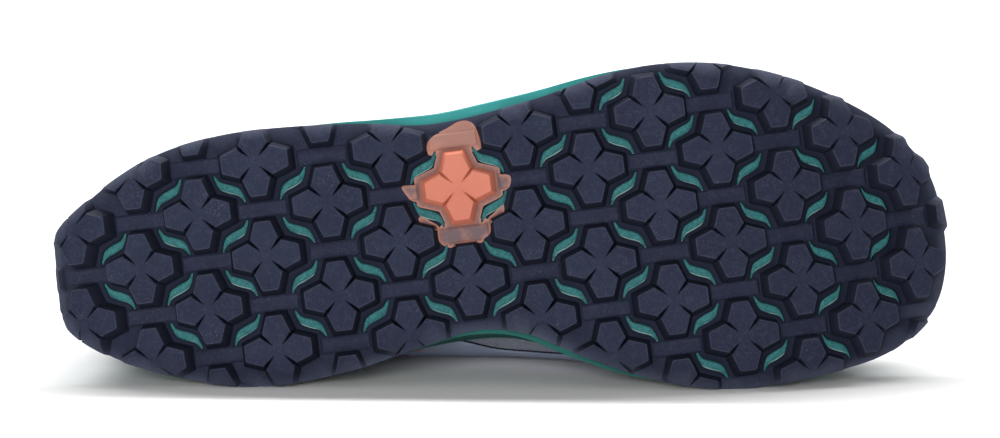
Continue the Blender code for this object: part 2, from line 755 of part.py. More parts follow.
def mirrored(outline):
    """The same outline on the other side of the shoe, still counter-clockwise."""
    return [(-c, share) for c, share in reversed(outline)]


def tongue_section(index):
    """Points across the tongue at one throat column, from the medial to the lateral side."""
    rows = (-3, -2, -1)
    medial = [INNER[index, j] - NORMALS[index, j] * TONGUE_GAP for j in rows]
    lateral = [INNER[-index, j] - NORMALS[-index, j] * TONGUE_GAP for j in rows]
    rise = np.array((0, 0, np.linalg.norm(medial[-1] - lateral[-1])))
    crown = (medial[-1] + lateral[-1]) / 2 + rise * TONGUE_CROWN
    shoulders = [(side[-1] + crown) / 2 + rise * TONGUE_SHOULDER for side in (medial, lateral)]
    return np.array([*medial, shoulders[0], crown, shoulders[1], *lateral[::-1]])


def build_tongue():
    """A padded tongue under the throat's edges, standing free above the top eyelets."""
    low, high = TONGUE_COLUMNS
    sections = [tongue_section(c) for c in range(high, low - 1, -1)]
    rise = (sections[-1] - sections[-2]).mean(axis=0)
    lean = np.array((rise[0], 0, rise[2])) / np.linalg.norm(rise) + np.array((0, 0, TONGUE_UPRIGHT))
    lean /= np.linalg.norm(lean)
    last = sections[-1]
    middle = last.mean(axis=0)
    for lift, breadth in TONGUE_TOP:
        sections.append(middle + (last - middle) * breadth + lean * TONGUE_FREE * lift)
    top = np.array(sections)
    across = np.gradient(top, axis=1)
    along = np.gradient(top, axis=0)
    normals = np.cross(across, along)
    normals /= np.linalg.norm(normals, axis=2)[:, :, None]
    normals *= np.sign(normals[:, 4, 2].sum())
    return shell("tongue", top, top - normals * TONGUE, "lining", False)


def eyelet_frame(index):
    """Middle and outward normal of the eyelet at one column of an eyestay."""
    return Vector(OUTER[index, EYELET_ROW]), Vector(NORMALS[index, EYELET_ROW])


def build_eyelet(name, index):
    """A flat ring on the eyestay."""
    middle, normal = eyelet_frame(index)
    bm = bmesh.new()
    seat = middle + normal * (2 * GAP + OVERLAY)
    turn = Matrix.Translation(seat) @ normal.to_track_quat("Z", "Y").to_matrix().to_4x4()
    corners = ((EYELET_OUTER, 0), (EYELET_OUTER, EYELET_RISE), (EYELET_INNER, EYELET_RISE), (EYELET_INNER, 0))
    loops = []
    for radius, lift in corners:
        points = []
        for k in range(EYELET_SIDES):
            angle = 2 * math.pi * k / EYELET_SIDES
            points.append(turn @ Vector((radius * math.cos(angle), radius * math.sin(angle), lift)))
        loops.append(ring(bm, points))
    for low, high in zip(loops, loops[1:] + loops[:1]):
        wall(bm, low, high)
    return new_object(name, bm, "eyelet", 40)


def lace_path(start, end):
    """Points of a lace strip that arches over the tongue from one eyestay to the other."""
    places = []
    for k in range(LACE_STEPS + 1):
        share = k / LACE_STEPS
        arch = 4 * share * (1 - share) * LACE_ARCH
        places.append(start.lerp(end, share) + Vector((0, 0, arch)))
    return places


def strip(name, start, end, colour):
    """A flat band swept along a lace path."""
    path = lace_path(start, end)
    bm = bmesh.new()
    loops = []
    for k, place_at in enumerate(path):
        along = path[min(k + 1, LACE_STEPS)] - path[max(k - 1, 0)]
        across = along.cross(Vector((0, 0, 1))).normalized() * LACE_WIDTH / 2
        thick = across.cross(along).normalized() * LACE_THICK / 2
        corners = (across + thick, thick - across, -across - thick, across - thick)
        loops.append(ring(bm, [place_at + c for c in corners]))
    for low, high in zip(loops, loops[1:]):
        wall(bm, low, high)
    bm.faces.new(loops[0])
    bm.faces.new(loops[-1])
    return new_object(name, bm, colour)


def lace_seat(index):
    """Middle of the lace above the eyelet at one column."""
    middle, normal = eyelet_frame(index)
    return middle + normal * (2 * GAP + OVERLAY + EYELET_RISE + LACE_LIFT + LACE_THICK / 2)


def build_lace():
    """A bar across the front eyelets and a cross between each pair and the next."""
    made = []
    front = EYELET_COLUMNS[-1]
    ahead = Vector((LACE_BAR_AHEAD, 0, -LACE_BAR_AHEAD / 3))
    made.append(strip("lace_bar", lace_seat(front) + ahead, lace_seat(-front) + ahead, "lace"))
    for number, (back, fore) in enumerate(zip(EYELET_COLUMNS, EYELET_COLUMNS[1:]), 1):
        near, far = LACE_SETBACK, 1 - LACE_SETBACK
        medial = [lace_seat(back).lerp(lace_seat(fore), share) for share in (near, far)]
        lateral = [lace_seat(-back).lerp(lace_seat(-fore), share) for share in (near, far)]
        cross = strip(f"lace_cross_{number}", medial[0], lateral[1], "lace")
        other = strip(f"lace_cutter_{number}", lateral[0], medial[1], "lace")
        other.hide_render = True
        other.display_type = "WIRE"
        joined = cross.modifiers.new("crossing", "BOOLEAN")
        joined.operation = "UNION"
        joined.object = other
        made.append(cross)
    return made


# Rest on the floor


def clear_scene():
    for obj in list(bpy.data.objects):
        bpy.data.objects.remove(obj)


def make_materials():
    made = {}
    for name, (red, green, blue, rough) in COLOURS.items():
        material = bpy.data.materials.new(name)
        material.use_nodes = True
        shader = material.node_tree.nodes["Principled BSDF"]
        shader.inputs["Base Color"].default_value = (red, green, blue, 1)
        shader.inputs["Roughness"].default_value = rough
        made[name] = material
    return made


def balance_point(objects):
    """Middle of the shoe's weight, each piece by its volume and how heavy its stuff is."""
    total, moment = 0.0, Vector((0, 0, 0))
    for obj in objects:
        density = DENSITY[obj.data.materials[0].name]
        bm = bmesh.new()
        bm.from_mesh(obj.data)
        for a, b, c in ([loop.vert.co for loop in tri] for tri in bm.calc_loop_triangles()):
            share = density * a.dot(b.cross(c)) / 6
            total += share
            moment += share * (a + b + c) / 4
        bm.free()
    return moment / total


def lie_down(objects):
    """Turns the shoe onto the medial facet of its hull under its balance point, over the origin."""
    points = [Vector(v.co) for o in objects for v in o.data.vertices]
    middle = balance_point(objects)
    hull = bmesh.new()
    for p in points:
        hull.verts.new(p)
    bmesh.ops.convex_hull(hull, input=hull.verts[:], use_existing_faces=False)
    hull.normal_update()
    best = None
    for face in hull.faces:
        if face.normal.dot(face.verts[0].co - middle) < 0:
            face.normal_flip()
        corners = [loop.vert.co - middle for loop in face.loops]
        room_inside = min(
            face.normal.cross(q - p).normalized().dot(-p)
            for p, q in zip(corners, corners[1:] + corners[:1])
        )
        if face.normal.y > 0.7 and (best is None or room_inside > best[0]):
            best = (room_inside, face.normal.copy())
    hull.free()
    down = best[1]
    facing = Vector((0, 0, -1))
    facing = (facing - down * facing.dot(down)).normalized()
    turn = Matrix((facing.cross(down), -facing, -down)).to_4x4()
    turned = np.array([turn @ p for p in points])
    low, high = turned.min(axis=0), turned.max(axis=0)
    shift = Vector((-(low[0] + high[0]) / 2, -(low[1] + high[1]) / 2, -low[2]))
    return Matrix.Translation(shift) @ turn


clear_scene()
MATERIALS = make_materials()
REST = bpy.data.objects.new("shoe_rest", None)
bpy.context.scene.collection.objects.link(REST)

pieces = [
    build_outsole(),
    build_accent_lug(),
    build_midsole(),
    build_insole(),
    build_upper(),
    panel("toe_cap", arched_outline(*TOE_CAP)),
    panel("heel_counter", arched_outline(*HEEL_COUNTER)),
    panel("eyestay_medial", eyestay_outline()),
    panel("eyestay_lateral", mirrored(eyestay_outline())),
    build_tongue(),
]
for number, index in enumerate(EYELET_COLUMNS, 1):
    pieces.append(build_eyelet(f"eyelet_medial_{number}", index))
    pieces.append(build_eyelet(f"eyelet_lateral_{number}", -index))
pieces += build_lace()
REST.matrix_world = lie_down(pieces)
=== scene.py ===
# %% [markdown]
# # A hiking shoe that lies on its side
# The photograph looks at the tread of a low hiking shoe, heel at the left, with a strip of the
# upper showing at the arch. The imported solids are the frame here. Each one is replaced by a finer
# piece that keeps its place and form, and every piece gets a finish made from nodes.

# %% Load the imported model
import json
import math

import bmesh
import bpy
import numpy as np
from mathutils import Matrix, Vector
from mathutils.geometry import delaunay_2d_cdt


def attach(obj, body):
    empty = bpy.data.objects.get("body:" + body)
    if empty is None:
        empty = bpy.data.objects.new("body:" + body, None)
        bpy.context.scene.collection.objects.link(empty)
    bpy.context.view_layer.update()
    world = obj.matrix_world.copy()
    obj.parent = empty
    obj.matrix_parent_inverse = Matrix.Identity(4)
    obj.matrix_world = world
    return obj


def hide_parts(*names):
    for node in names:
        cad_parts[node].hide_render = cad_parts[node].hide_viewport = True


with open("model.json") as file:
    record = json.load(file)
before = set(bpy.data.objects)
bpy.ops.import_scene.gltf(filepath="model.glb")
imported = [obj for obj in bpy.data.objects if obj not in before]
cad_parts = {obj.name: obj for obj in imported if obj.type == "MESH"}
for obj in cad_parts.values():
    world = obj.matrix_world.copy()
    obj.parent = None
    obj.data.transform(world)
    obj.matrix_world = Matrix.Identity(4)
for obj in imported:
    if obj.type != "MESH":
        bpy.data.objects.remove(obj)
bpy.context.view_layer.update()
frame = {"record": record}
MM = 0.001

# %% [markdown]
# ## The shoe's own frame
# A shoe is easiest to describe standing: x forward from the heel, y towards the medial side, z up
# from the ground. The sizes below are the ones the solids were made from. The record of the packed
# model states where two lug tops are and which way the tread faces, and that is enough to work out
# how the standing shoe is turned onto its side.

# %% Sizes of the tread
LUG_HEIGHT, PLATE, GAP = 4.2 * MM, 1.6 * MM, 0.3 * MM
HEEL_BEVEL_LENGTH, HEEL_BEVEL_RISE = 24 * MM, 6 * MM
ARCH_START, ARCH_END, ARCH_RISE = 74 * MM, 164 * MM, 1.6 * MM
TOE_SPRING_START, TOE_SPRING_RISE = 196 * MM, 27 * MM
LUG_HALF_PITCH = np.array((20.6, 14.85)) * MM
LATTICE_ORIGIN = np.array((128.3, -14.6)) * MM
ROW_BOW, ROW_BOW_SPAN = 1.5 * MM, 82 * MM
HEEL_CLOSING_FROM, HEEL_CLOSING = 66 * MM, 0.064
# Lugs under the toes sit back a little, most on the lateral side: station and shift in millimetres
TOE_SHIFT, TOE_SHIFT_SPAN = np.array(((192, 0), (214, -1.2), (245, -1.2), (268, -0.5))), 80 * MM
# Lattice places of the two lugs whose tops the record states
HEEL_LUG, FOREFOOT_LUG = (-4, 0), (3, 1)
LUG_REACH, PETAL_TIP_HALF, LUG_NOTCH = 12.3 * MM, 3.6 * MM, 5.9 * MM
# Edge of the outsole in plan, in millimetres, from the lateral heel corner round the toe
OUTSOLE_EDGE = (
    (0.1, -13.0), (3.0, -17.8), (13.7, -25.6), (33.9, -35.9), (58.0, -40.2), (97.0, -38.5),
    (122.0, -35.2), (154.0, -38.6), (179.8, -43.8), (196.0, -44.8), (217.8, -41.7),
    (242.0, -32.5), (266.7, -16.4), (278.3, -1.1), (281.4, 14.5), (280.4, 31.0),
    (274.6, 43.4), (259.4, 54.2), (231.0, 58.9), (204.0, 58.9), (180.4, 52.4), (161.4, 43.3),
    (144.0, 33.6), (129.0, 30.7), (110.8, 33.6), (87.5, 38.2), (60.0, 39.7), (37.6, 34.6),
    (13.7, 24.3), (1.9, 14.8), (-0.6, 8.2),
)


def smooth_value(at, stations, values):
    """A cubic through a table's rows, level past its ends."""
    xs, ys = np.asarray(stations, float), np.asarray(values, float)
    slopes = np.gradient(ys, xs)
    at = np.clip(np.asarray(at, float), xs[0], xs[-1])
    k = np.clip(np.searchsorted(xs, at, side="right") - 1, 0, len(xs) - 2)
    step = xs[k + 1] - xs[k]
    t = (at - xs[k]) / step
    rise = ys[k + 1] - ys[k]
    a, b = slopes[k] * step - rise, rise - slopes[k + 1] * step
    return ys[k] + rise * t + t * (1 - t) * (a * (1 - t) + b * t)


def smooth_chain(points, per_span):
    """Points along a smooth open curve through plan points in millimetres, in metres."""
    p = np.asarray(points, float) * MM
    gaps = np.linalg.norm(np.diff(p, axis=0), axis=1)
    at = np.concatenate([[0], np.cumsum(np.sqrt(gaps))])
    fine = np.linspace(0, at[-1], per_span * len(gaps) + 1)
    return np.stack([smooth_value(fine, at, p[:, k]) for k in (0, 1)], axis=1)


EDGE = smooth_chain(OUTSOLE_EDGE, 12)
LENGTH = float(EDGE[:, 0].max())
TIP = int(EDGE[:, 0].argmax())
print("sole", round(LENGTH / MM, 1), "mm long, edge of", len(EDGE), "points")


# %% Side profile of the sole
def floor_height(x):
    """Height of the tread's floor, between the lugs, above the ground."""
    x = np.asarray(x, float)
    heel = np.clip((HEEL_BEVEL_LENGTH - x) / HEEL_BEVEL_LENGTH, 0, 1)
    toe = np.clip((x - TOE_SPRING_START) / (LENGTH - TOE_SPRING_START), 0, 1.2)
    arch = np.clip((x - ARCH_START) / (ARCH_END - ARCH_START), 0, 1)
    bend = HEEL_BEVEL_RISE * heel**2 + TOE_SPRING_RISE * toe**2
    return LUG_HEIGHT + bend + ARCH_RISE * np.sin(math.pi * arch) ** 2


PROFILE_X = np.linspace(-2 * MM, LENGTH + 2 * MM, 400)
PROFILE_Z = floor_height(PROFILE_X)
PROFILE_S = np.concatenate([[0], np.cumsum(np.hypot(np.diff(PROFILE_X), np.diff(PROFILE_Z)))])
PROFILE_S += LATTICE_ORIGIN[0] - np.interp(LATTICE_ORIGIN[0], PROFILE_X, PROFILE_S)
SLOPE = np.gradient(PROFILE_Z, PROFILE_X)


def on_sole(plan, lift):
    """Points that lie lift above the tread's floor, along the floor's own normal."""
    s, y = np.asarray(plan, float).T
    x = np.interp(s, PROFILE_S, PROFILE_X)
    turn = np.arctan(np.interp(x, PROFILE_X, SLOPE))
    z = np.interp(s, PROFILE_S, PROFILE_Z)
    return np.column_stack([x - lift * np.sin(turn), y, z + lift * np.cos(turn)])


def lug_middle(i, j):
    """Plan place of one lattice point; the rows bow, and close up towards heel and toe."""
    s, y = LATTICE_ORIGIN + LUG_HALF_PITCH * (i, j)
    s += HEEL_CLOSING * max(0.0, HEEL_CLOSING_FROM - s)
    s += np.interp(s / MM, *TOE_SHIFT.T) * MM * (0.75 - y / TOE_SHIFT_SPAN)
    bow = min(1.1, abs(s - LATTICE_ORIGIN[0]) / ROW_BOW_SPAN) ** 2
    return np.array((s, y - ROW_BOW * bow))


def rest_turn():
    """Standing shoe to lying shoe, from two lug tops that the record states."""
    mounts = {m["name"]: m for m in frame["record"]["mounts"]}
    heel = Vector(mounts["heel_tread"]["pos_m"])
    along = (Vector(mounts["forefoot_tread"]["pos_m"]) - heel).normalized()
    up = -Vector(mounts["heel_tread"]["axis"]).normalized()
    start = lug_middle(*HEEL_LUG)
    way = lug_middle(*FOREFOOT_LUG) - start
    angle = math.atan2(way[1], way[0])
    forward = along * math.cos(angle) - up.cross(along) * math.sin(angle)
    turn = Matrix((forward, up.cross(forward), up)).transposed().to_4x4()
    return Matrix.Translation(heel - turn @ Vector((*start, 0))) @ turn


REST = rest_turn()
FACING = REST.to_3x3() @ Vector((0, 0, -1))
print("the tread faces", [round(c, 3) for c in FACING])

# %% [markdown]
# ## Camera
# The camera looks along the tread's own normal. Its distance sets how much of the lugs' inner walls
# shows towards both ends, and its lens follows from the width of ground that the picture covers.

# %% Camera
FRAME_WIDTH = 312.5 * MM
FRAME_MIDDLE = (140.0 * MM, -3.0 * MM)
CAMERA_DISTANCE, SENSOR = 0.9, 36.0
CAMERA_ROLL = math.radians(0.3)

camera = bpy.data.objects.new("camera", bpy.data.cameras.new("camera"))
bpy.context.scene.collection.objects.link(camera)
target = REST @ Vector((*FRAME_MIDDLE, 0))
camera.data.sensor_width = SENSOR
camera.data.lens = SENSOR * CAMERA_DISTANCE / FRAME_WIDTH
look = (-FACING).to_track_quat("-Z", "Y").to_matrix()
camera.matrix_world = Matrix.Translation(target + FACING * CAMERA_DISTANCE) @ (
    look @ Matrix.Rotation(CAMERA_ROLL, 3, "Z")
).to_4x4()
bpy.context.scene.camera = camera
print("lens", round(camera.data.lens, 1), "mm at", round(camera.location.z / MM), "mm above the floor")

# %% [markdown]
# ## Colours and nodes for the finishes
# Colours are written as they look on a screen and turned into the values that a shader wants. Most
# surfaces here share one of two effects: the grain of moulded rubber and foam with its scattered
# specks, or a woven cloth with diagonal ribs. Each is one node group with its own inputs, so that
# a material only says how coarse and how strong it is. Building nodes by hand is wordy, so a few
# small helpers add a node, a product or a blend.


# %% Colours
def srgb(red, green, blue):
    """A colour given as it looks on a screen, 0 to 255, as the shader wants it."""
    share = np.array((red, green, blue)) / 255
    linear = np.where(share < 0.04045, share / 12.92, ((share + 0.055) / 1.055) ** 2.4)
    return (*linear, 1.0)


# The deep navy is both the rubber's darker mottle and the painted shade on the tread's walls
NAVY, NAVY_LIT, NAVY_DEEP = srgb(37, 41, 57), srgb(96, 101, 119), srgb(21, 24, 34)
TEAL, TEAL_DEEP, TEAL_SHADE = srgb(56, 151, 149), srgb(48, 138, 135), srgb(26, 88, 81)
# The slits show the midsole's foam, given a darker teal as painted shade of the recess
SLIT_TEAL, SLIT_TEAL_DEEP = srgb(57, 120, 122), srgb(38, 89, 92)
SLIT_HIGHLIGHT, SLIT_SHADE = srgb(176, 208, 202), srgb(14, 44, 45)
CORAL, CORAL_DEEP = srgb(194, 115, 94), srgb(187, 106, 86)
BLEED, BLEED_DARK, BLEED_BROWN = srgb(167, 118, 103), srgb(84, 75, 84), srgb(122, 80, 70)
FILM, FILM_DEEP = srgb(152, 160, 184), srgb(148, 156, 180)
THREAD_LIGHT, THREAD_DARK = srgb(170, 176, 192), srgb(50, 55, 70)
TRIM, TRIM_DEEP = srgb(74, 80, 100), srgb(60, 65, 83)
LINING, LINING_DEEP = srgb(62, 67, 82), srgb(38, 42, 54)
LACE, LACE_DEEP = srgb(60, 142, 138), srgb(36, 96, 94)
STITCH, PURPLE = srgb(36, 40, 53), srgb(106, 44, 112)
NAVY_GLEAM = srgb(176, 184, 230)
print("colours ready")


# %% Node helpers
def feed(tree, socket, value):
    """Gives an input its value, or a link to the output that makes it."""
    if isinstance(value, bpy.types.NodeSocket):
        tree.links.new(value, socket)
    else:
        socket.default_value = value


def add(tree, kind, **inputs):
    """A shader node whose named inputs are values or links; an underscore stands for a space."""
    node = tree.nodes.new("ShaderNode" + kind)
    for name, value in inputs.items():
        feed(tree, node.inputs[name.replace("_", " ")], value)
    return node


def calculate(tree, operation, *values):
    """The result of one math node."""
    node = add(tree, "Math")
    node.operation = operation
    for socket, value in zip(node.inputs, values):
        feed(tree, socket, value)
    return node.outputs[0]


def product(tree, first, second):
    """Two values multiplied."""
    return calculate(tree, "MULTIPLY", first, second)


def blend(tree, factor, first, second):
    """A colour between two others."""
    node = add(tree, "Mix")
    node.data_type = "RGBA"
    for index, value in ((0, factor), (6, first), (7, second)):
        feed(tree, node.inputs[index], value)
    return node.outputs[2]


def band(tree, value, low, high):
    """0 below low, 1 above high, smooth between."""
    node = add(tree, "MapRange", Value=value, From_Min=low, From_Max=high)
    node.interpolation_type = "SMOOTHSTEP"
    return node.outputs[0]


def noise(tree, vector, scale, detail=2.0):
    """Smooth noise between 0 and 1."""
    return add(tree, "TexNoise", Vector=vector, Scale=scale, Detail=detail).outputs["Fac"]


def new_group(name, inputs, outputs):
    """An empty node group with named sockets: its tree, its inputs and its output node."""
    tree = bpy.data.node_groups.new(name, "ShaderNodeTree")
    for label, kind, value in inputs:
        socket = tree.interface.new_socket(label, in_out="INPUT", socket_type=kind)
        if value is not None:
            socket.default_value = value
    for label in outputs:
        tree.interface.new_socket(label, in_out="OUTPUT", socket_type="NodeSocketFloat")
    return tree, tree.nodes.new("NodeGroupInput").outputs, tree.nodes.new("NodeGroupOutput")


def use_group(tree, group, **inputs):
    """Places a node group in a material and gives its outputs."""
    node = add(tree, "Group")
    node.node_tree = group
    for name, value in inputs.items():
        feed(tree, node.inputs[name.replace("_", " ")], value)
    return node.outputs


print("node helpers ready")


# %% Grain and specks
def make_grain():
    """Moulded grain: a fine height, a broad mottle and specks that come in patches."""
    tree, given, result = new_group(
        "moulded grain",
        [("Grain", "NodeSocketFloat", 1500.0), ("Mottle size", "NodeSocketFloat", 55.0)],
        ("Height", "Mottle", "Speck"),
    )
    place = add(tree, "TexCoord").outputs["Object"]
    coarse = product(tree, given["Grain"], 0.35)
    height = product(tree, noise(tree, place, given["Grain"]), 0.6)
    height = calculate(tree, "MULTIPLY_ADD", noise(tree, place, coarse), 0.4, height)
    mottle = noise(tree, place, given["Mottle size"], 4.0)
    patch = band(tree, noise(tree, place, 95.0), 0.48, 0.66)
    dots = band(tree, noise(tree, place, 2300.0, 0.0), 0.66, 0.78)
    for label, value in (("Height", height), ("Mottle", mottle), ("Speck", product(tree, patch, dots))):
        tree.links.new(value, result.inputs[label])
    return tree


GRAIN = make_grain()
print("node group:", GRAIN.name)


# %% Twill weave
def make_twill():
    """Cloth with diagonal ribs of short floats; the coordinate is in millimetres of cloth."""
    tree, given, result = new_group(
        "twill weave",
        [("Cloth", "NodeSocketVector", None), ("Rib", "NodeSocketFloat", 0.9)],
        ("Height", "Shade"),
    )
    axes = add(tree, "SeparateXYZ", Vector=given["Cloth"]).outputs
    wander = noise(tree, given["Cloth"], 0.6)
    turn = calculate(tree, "DIVIDE", 2 * math.pi, given["Rib"])
    rib = calculate(tree, "ADD", axes["X"], axes["Y"])
    rib = calculate(tree, "MULTIPLY_ADD", wander, 0.35, rib)
    rib = calculate(tree, "SINE", product(tree, rib, turn))
    cross = calculate(tree, "SUBTRACT", axes["X"], axes["Y"])
    cross = calculate(tree, "SINE", product(tree, cross, turn))
    height = calculate(tree, "MULTIPLY_ADD", rib, 0.36, 0.5)
    height = calculate(tree, "MULTIPLY_ADD", cross, 0.14, height)
    shade = calculate(tree, "MULTIPLY_ADD", wander, 0.5, calculate(tree, "SUBTRACT", height, 0.25))
    tree.links.new(height, result.inputs["Height"])
    tree.links.new(shade, result.inputs["Shade"])
    return tree


TWILL = make_twill()
print("node group:", TWILL.name)


# %% Materials
def mark(tree, label):
    """A value that a piece carries on its points."""
    node = add(tree, "Attribute")
    node.attribute_name = label
    return node.outputs["Fac"]


def new_material(name, roughness):
    """A material with one Principled shader, and its tree and shader."""
    material = bpy.data.materials.new(name)
    material.use_nodes = True
    tree = material.node_tree
    shader = tree.nodes["Principled BSDF"]
    shader.inputs["Roughness"].default_value = roughness
    shader.inputs["Specular IOR Level"].default_value = 0.14
    return material, tree, shader


def give_surface(tree, shader, colour, height, depth):
    """Sends the shader its colour, and a height of 0 to 1 as bumps of a real depth."""
    feed(tree, shader.inputs["Base Color"], colour)
    bump = add(tree, "Bump", Height=height, Distance=depth, Strength=0.6)
    feed(tree, shader.inputs["Normal"], bump.outputs["Normal"])


def moulded(name, main, deep, roughness, grain, depth, speck_colour=None):
    """Moulded rubber, foam or film: mottled colour, fine grain, and specks where asked for."""
    material, tree, shader = new_material(name, roughness)
    effect = use_group(tree, GRAIN, Grain=grain)
    colour = blend(tree, band(tree, effect["Mottle"], 0.3, 0.7), deep, main)
    if speck_colour is not None:
        colour = blend(tree, product(tree, effect["Speck"], 0.5), colour, speck_colour)
    rough = calculate(tree, "MULTIPLY_ADD", effect["Mottle"], 0.2, roughness - 0.1)
    feed(tree, shader.inputs["Roughness"], rough)
    give_surface(tree, shader, colour, effect["Height"], depth)
    return material


def woven(name, light, dark, rib, depth, roughness=0.85):
    """Cloth with twill ribs, laid along the piece's own cloth coordinates."""
    material, tree, shader = new_material(name, roughness)
    cloth = add(tree, "UVMap")
    cloth.uv_map = "cloth"
    effect = use_group(tree, TWILL, Cloth=cloth.outputs["UV"], Rib=rib)
    give_surface(tree, shader, blend(tree, effect["Shade"], dark, light), effect["Height"], depth)
    shader.inputs["Sheen Weight"].default_value = 0.15
    return material


def make_slit_foam():
    """Foam seen through the slits: painted shadow at the lateral lip, painted highlight here and there at the
    other.
    """
    material, tree, shader = new_material("slit foam", 0.6)
    effect = use_group(tree, GRAIN, Grain=2200.0)
    # A darker teal than the midsole's own: painted shade inside the slits
    colour = blend(tree, band(tree, effect["Height"], 0.35, 0.65), SLIT_TEAL_DEEP, SLIT_TEAL)
    # The lip mark paints a shadow under the lateral lip and a highlight on the medial one
    lip = mark(tree, "lip")
    colour = blend(tree, product(tree, band(tree, lip, -0.2, -0.7), 0.85), colour, SLIT_SHADE)
    rim_highlight = product(tree, band(tree, lip, 0.3, 0.75), band(tree, effect["Mottle"], 0.42, 0.54))
    colour = blend(tree, product(tree, rim_highlight, 0.8), colour, SLIT_HIGHLIGHT)
    give_surface(tree, shader, colour, effect["Height"], 0.08 * MM)
    return material


def make_foam():
    """Foam of the midsole, with painted shade in a deeper teal on the medial side."""
    material, tree, shader = new_material("teal foam", 0.6)
    effect = use_group(tree, GRAIN, Grain=2200.0)
    colour = blend(tree, band(tree, effect["Mottle"], 0.3, 0.7), TEAL_DEEP, TEAL)
    # Painted shade on the medial side, which faces the floor
    colour = blend(tree, mark(tree, "medial"), colour, TEAL_SHADE)
    give_surface(tree, shader, colour, effect["Height"], 0.06 * MM)
    return material


slit_teal = make_slit_foam()
foam = make_foam()
coral_rubber = moulded("coral rubber", CORAL, CORAL_DEEP, 0.45, 1400.0, 0.04 * MM)
smooth_film = moulded("smooth film", FILM, FILM_DEEP, 0.5, 1700.0, 0.05 * MM)
trim = moulded("toe and heel film", TRIM, TRIM_DEEP, 0.48, 1300.0, 0.06 * MM, NAVY_LIT)
eyelet_plastic = moulded("eyelet plastic", NAVY, NAVY_DEEP, 0.35, 2400.0, 0.02 * MM)
thread = moulded("dark thread", STITCH, NAVY_DEEP, 0.7, 4000.0, 0.05 * MM)
coral_thread = moulded("coral thread", CORAL_DEEP, CORAL_DEEP, 0.7, 4000.0, 0.05 * MM)
purple_thread = moulded("purple thread", PURPLE, PURPLE, 0.7, 4000.0, 0.05 * MM)
mesh_cloth = woven("twill mesh", THREAD_LIGHT, THREAD_DARK, 0.95, 0.16 * MM)
lining_cloth = woven("lining knit", LINING, LINING_DEEP, 1.3, 0.2 * MM, 0.95)
lace_cloth = woven("lace weave", LACE, LACE_DEEP, 1.1, 0.25 * MM)
print(len(bpy.data.materials), "materials so far")


# %% Rubber of the outsole
def make_outsole_rubber():
    """Navy rubber with painted light and shade: palest on the lug tops, with a painted highlight on their
    edges, darkest on the walls.
    """
    material, tree, shader = new_material("navy rubber", 0.6)
    effect = use_group(tree, GRAIN, Grain=1600.0)
    # The shade mark paints light and shade: deep navy in painted shade on walls and grooves, plain navy on
    # the lit tops
    pale = mark(tree, "shade")
    colour = blend(tree, pale, NAVY_DEEP, NAVY)
    cloud = product(tree, band(tree, effect["Mottle"], 0.35, 0.75), 0.2)
    colour = blend(tree, cloud, colour, NAVY_DEEP)
    # Painted highlight on the lug tops' bevels and along the rim, broken up by the mottle
    painted_highlight = product(tree, mark(tree, "edge_highlight"), effect["Mottle"])
    crumb = product(tree, band(tree, effect["Height"], 0.46, 0.66), pale)
    speck = product(tree, effect["Speck"], pale)
    for share, strength in ((painted_highlight, 0.38), (crumb, 0.1), (speck, 0.3)):
        colour = blend(tree, product(tree, share, strength), colour, NAVY_LIT)
    rough = calculate(tree, "MULTIPLY_ADD", effect["Mottle"], 0.25, 0.45)
    feed(tree, shader.inputs["Roughness"], rough)
    shader.inputs["Specular Tint"].default_value = NAVY_GLEAM
    give_surface(tree, shader, colour, effect["Height"], 0.09 * MM)
    return material


def make_bleed():
    """Thin coral rubber that ran out over the navy: blotched, and brown beside the lug, partly its own tone
    and partly painted shade.
    """
    material, tree, shader = new_material("coral bleed", 0.5)
    effect = use_group(tree, GRAIN, Grain=1400.0, Mottle_size=130.0)
    thin = product(tree, band(tree, effect["Mottle"], 0.24, 0.46), mark(tree, "thin"))
    # Brown at the coral lug's foot: partly the bleed's own tone, partly painted shade
    colour = blend(tree, product(tree, mark(tree, "halo"), 0.85), BLEED, BLEED_BROWN)
    colour = blend(tree, product(tree, thin, 0.85), colour, BLEED_DARK)
    give_surface(tree, shader, colour, effect["Height"], 0.05 * MM)
    return material


navy_rubber = make_outsole_rubber()
bleed_rubber = make_bleed()
print("rubbers:", navy_rubber.name, "and", bleed_rubber.name)

# %% [markdown]
# ## Floor and light
# The floor is a pale sheet. A wide strip lamp hangs high behind the shoe, so that a soft shadow
# falls towards the camera, and a small lamp low in front lights the tread. What the floor throws
# back at the shoe is dimmed, as a dark studio round it would.

# %% Floor and light
FLOOR_SEEN, FLOOR_BOUNCE = (0.78, 0.78, 0.78, 1), (0.62, 0.62, 0.62, 1)
SKY_LOW, SKY_HIGH, SKY_BRIGHTEST = 0.08, 0.5, (0.0, 0.3, 0.954)
FLOOR_REACH, LAMP_TARGET = 12.0, Vector((0, 0, 0.04))
# Place, width and height in metres, and watts of each lamp
LAMPS = {
    "strip lamp": ((0.0, 2.15, 6.0), (13.0, 0.6), 960.0),
    "front lamp": ((-0.3, -1.5, 0.42), (0.6, 0.6), 17.0),
}


def make_floor():
    """A pale floor that looks brighter to the camera than to the shoe."""
    mesh = bpy.data.meshes.new("floor")
    corners = [(x * FLOOR_REACH, y * FLOOR_REACH, 0) for x, y in ((-1, -1), (1, -1), (1, 1), (-1, 1))]
    mesh.from_pydata(corners, [], [(0, 1, 2, 3)])
    floor = bpy.data.objects.new("floor", mesh)
    bpy.context.scene.collection.objects.link(floor)
    material, tree, shader = new_material("pale floor", 0.9)
    seen = add(tree, "LightPath").outputs["Is Camera Ray"]
    tree.links.new(blend(tree, seen, FLOOR_BOUNCE, FLOOR_SEEN), shader.inputs["Base Color"])
    shader.inputs["Specular IOR Level"].default_value = 0.0
    mesh.materials.append(material)


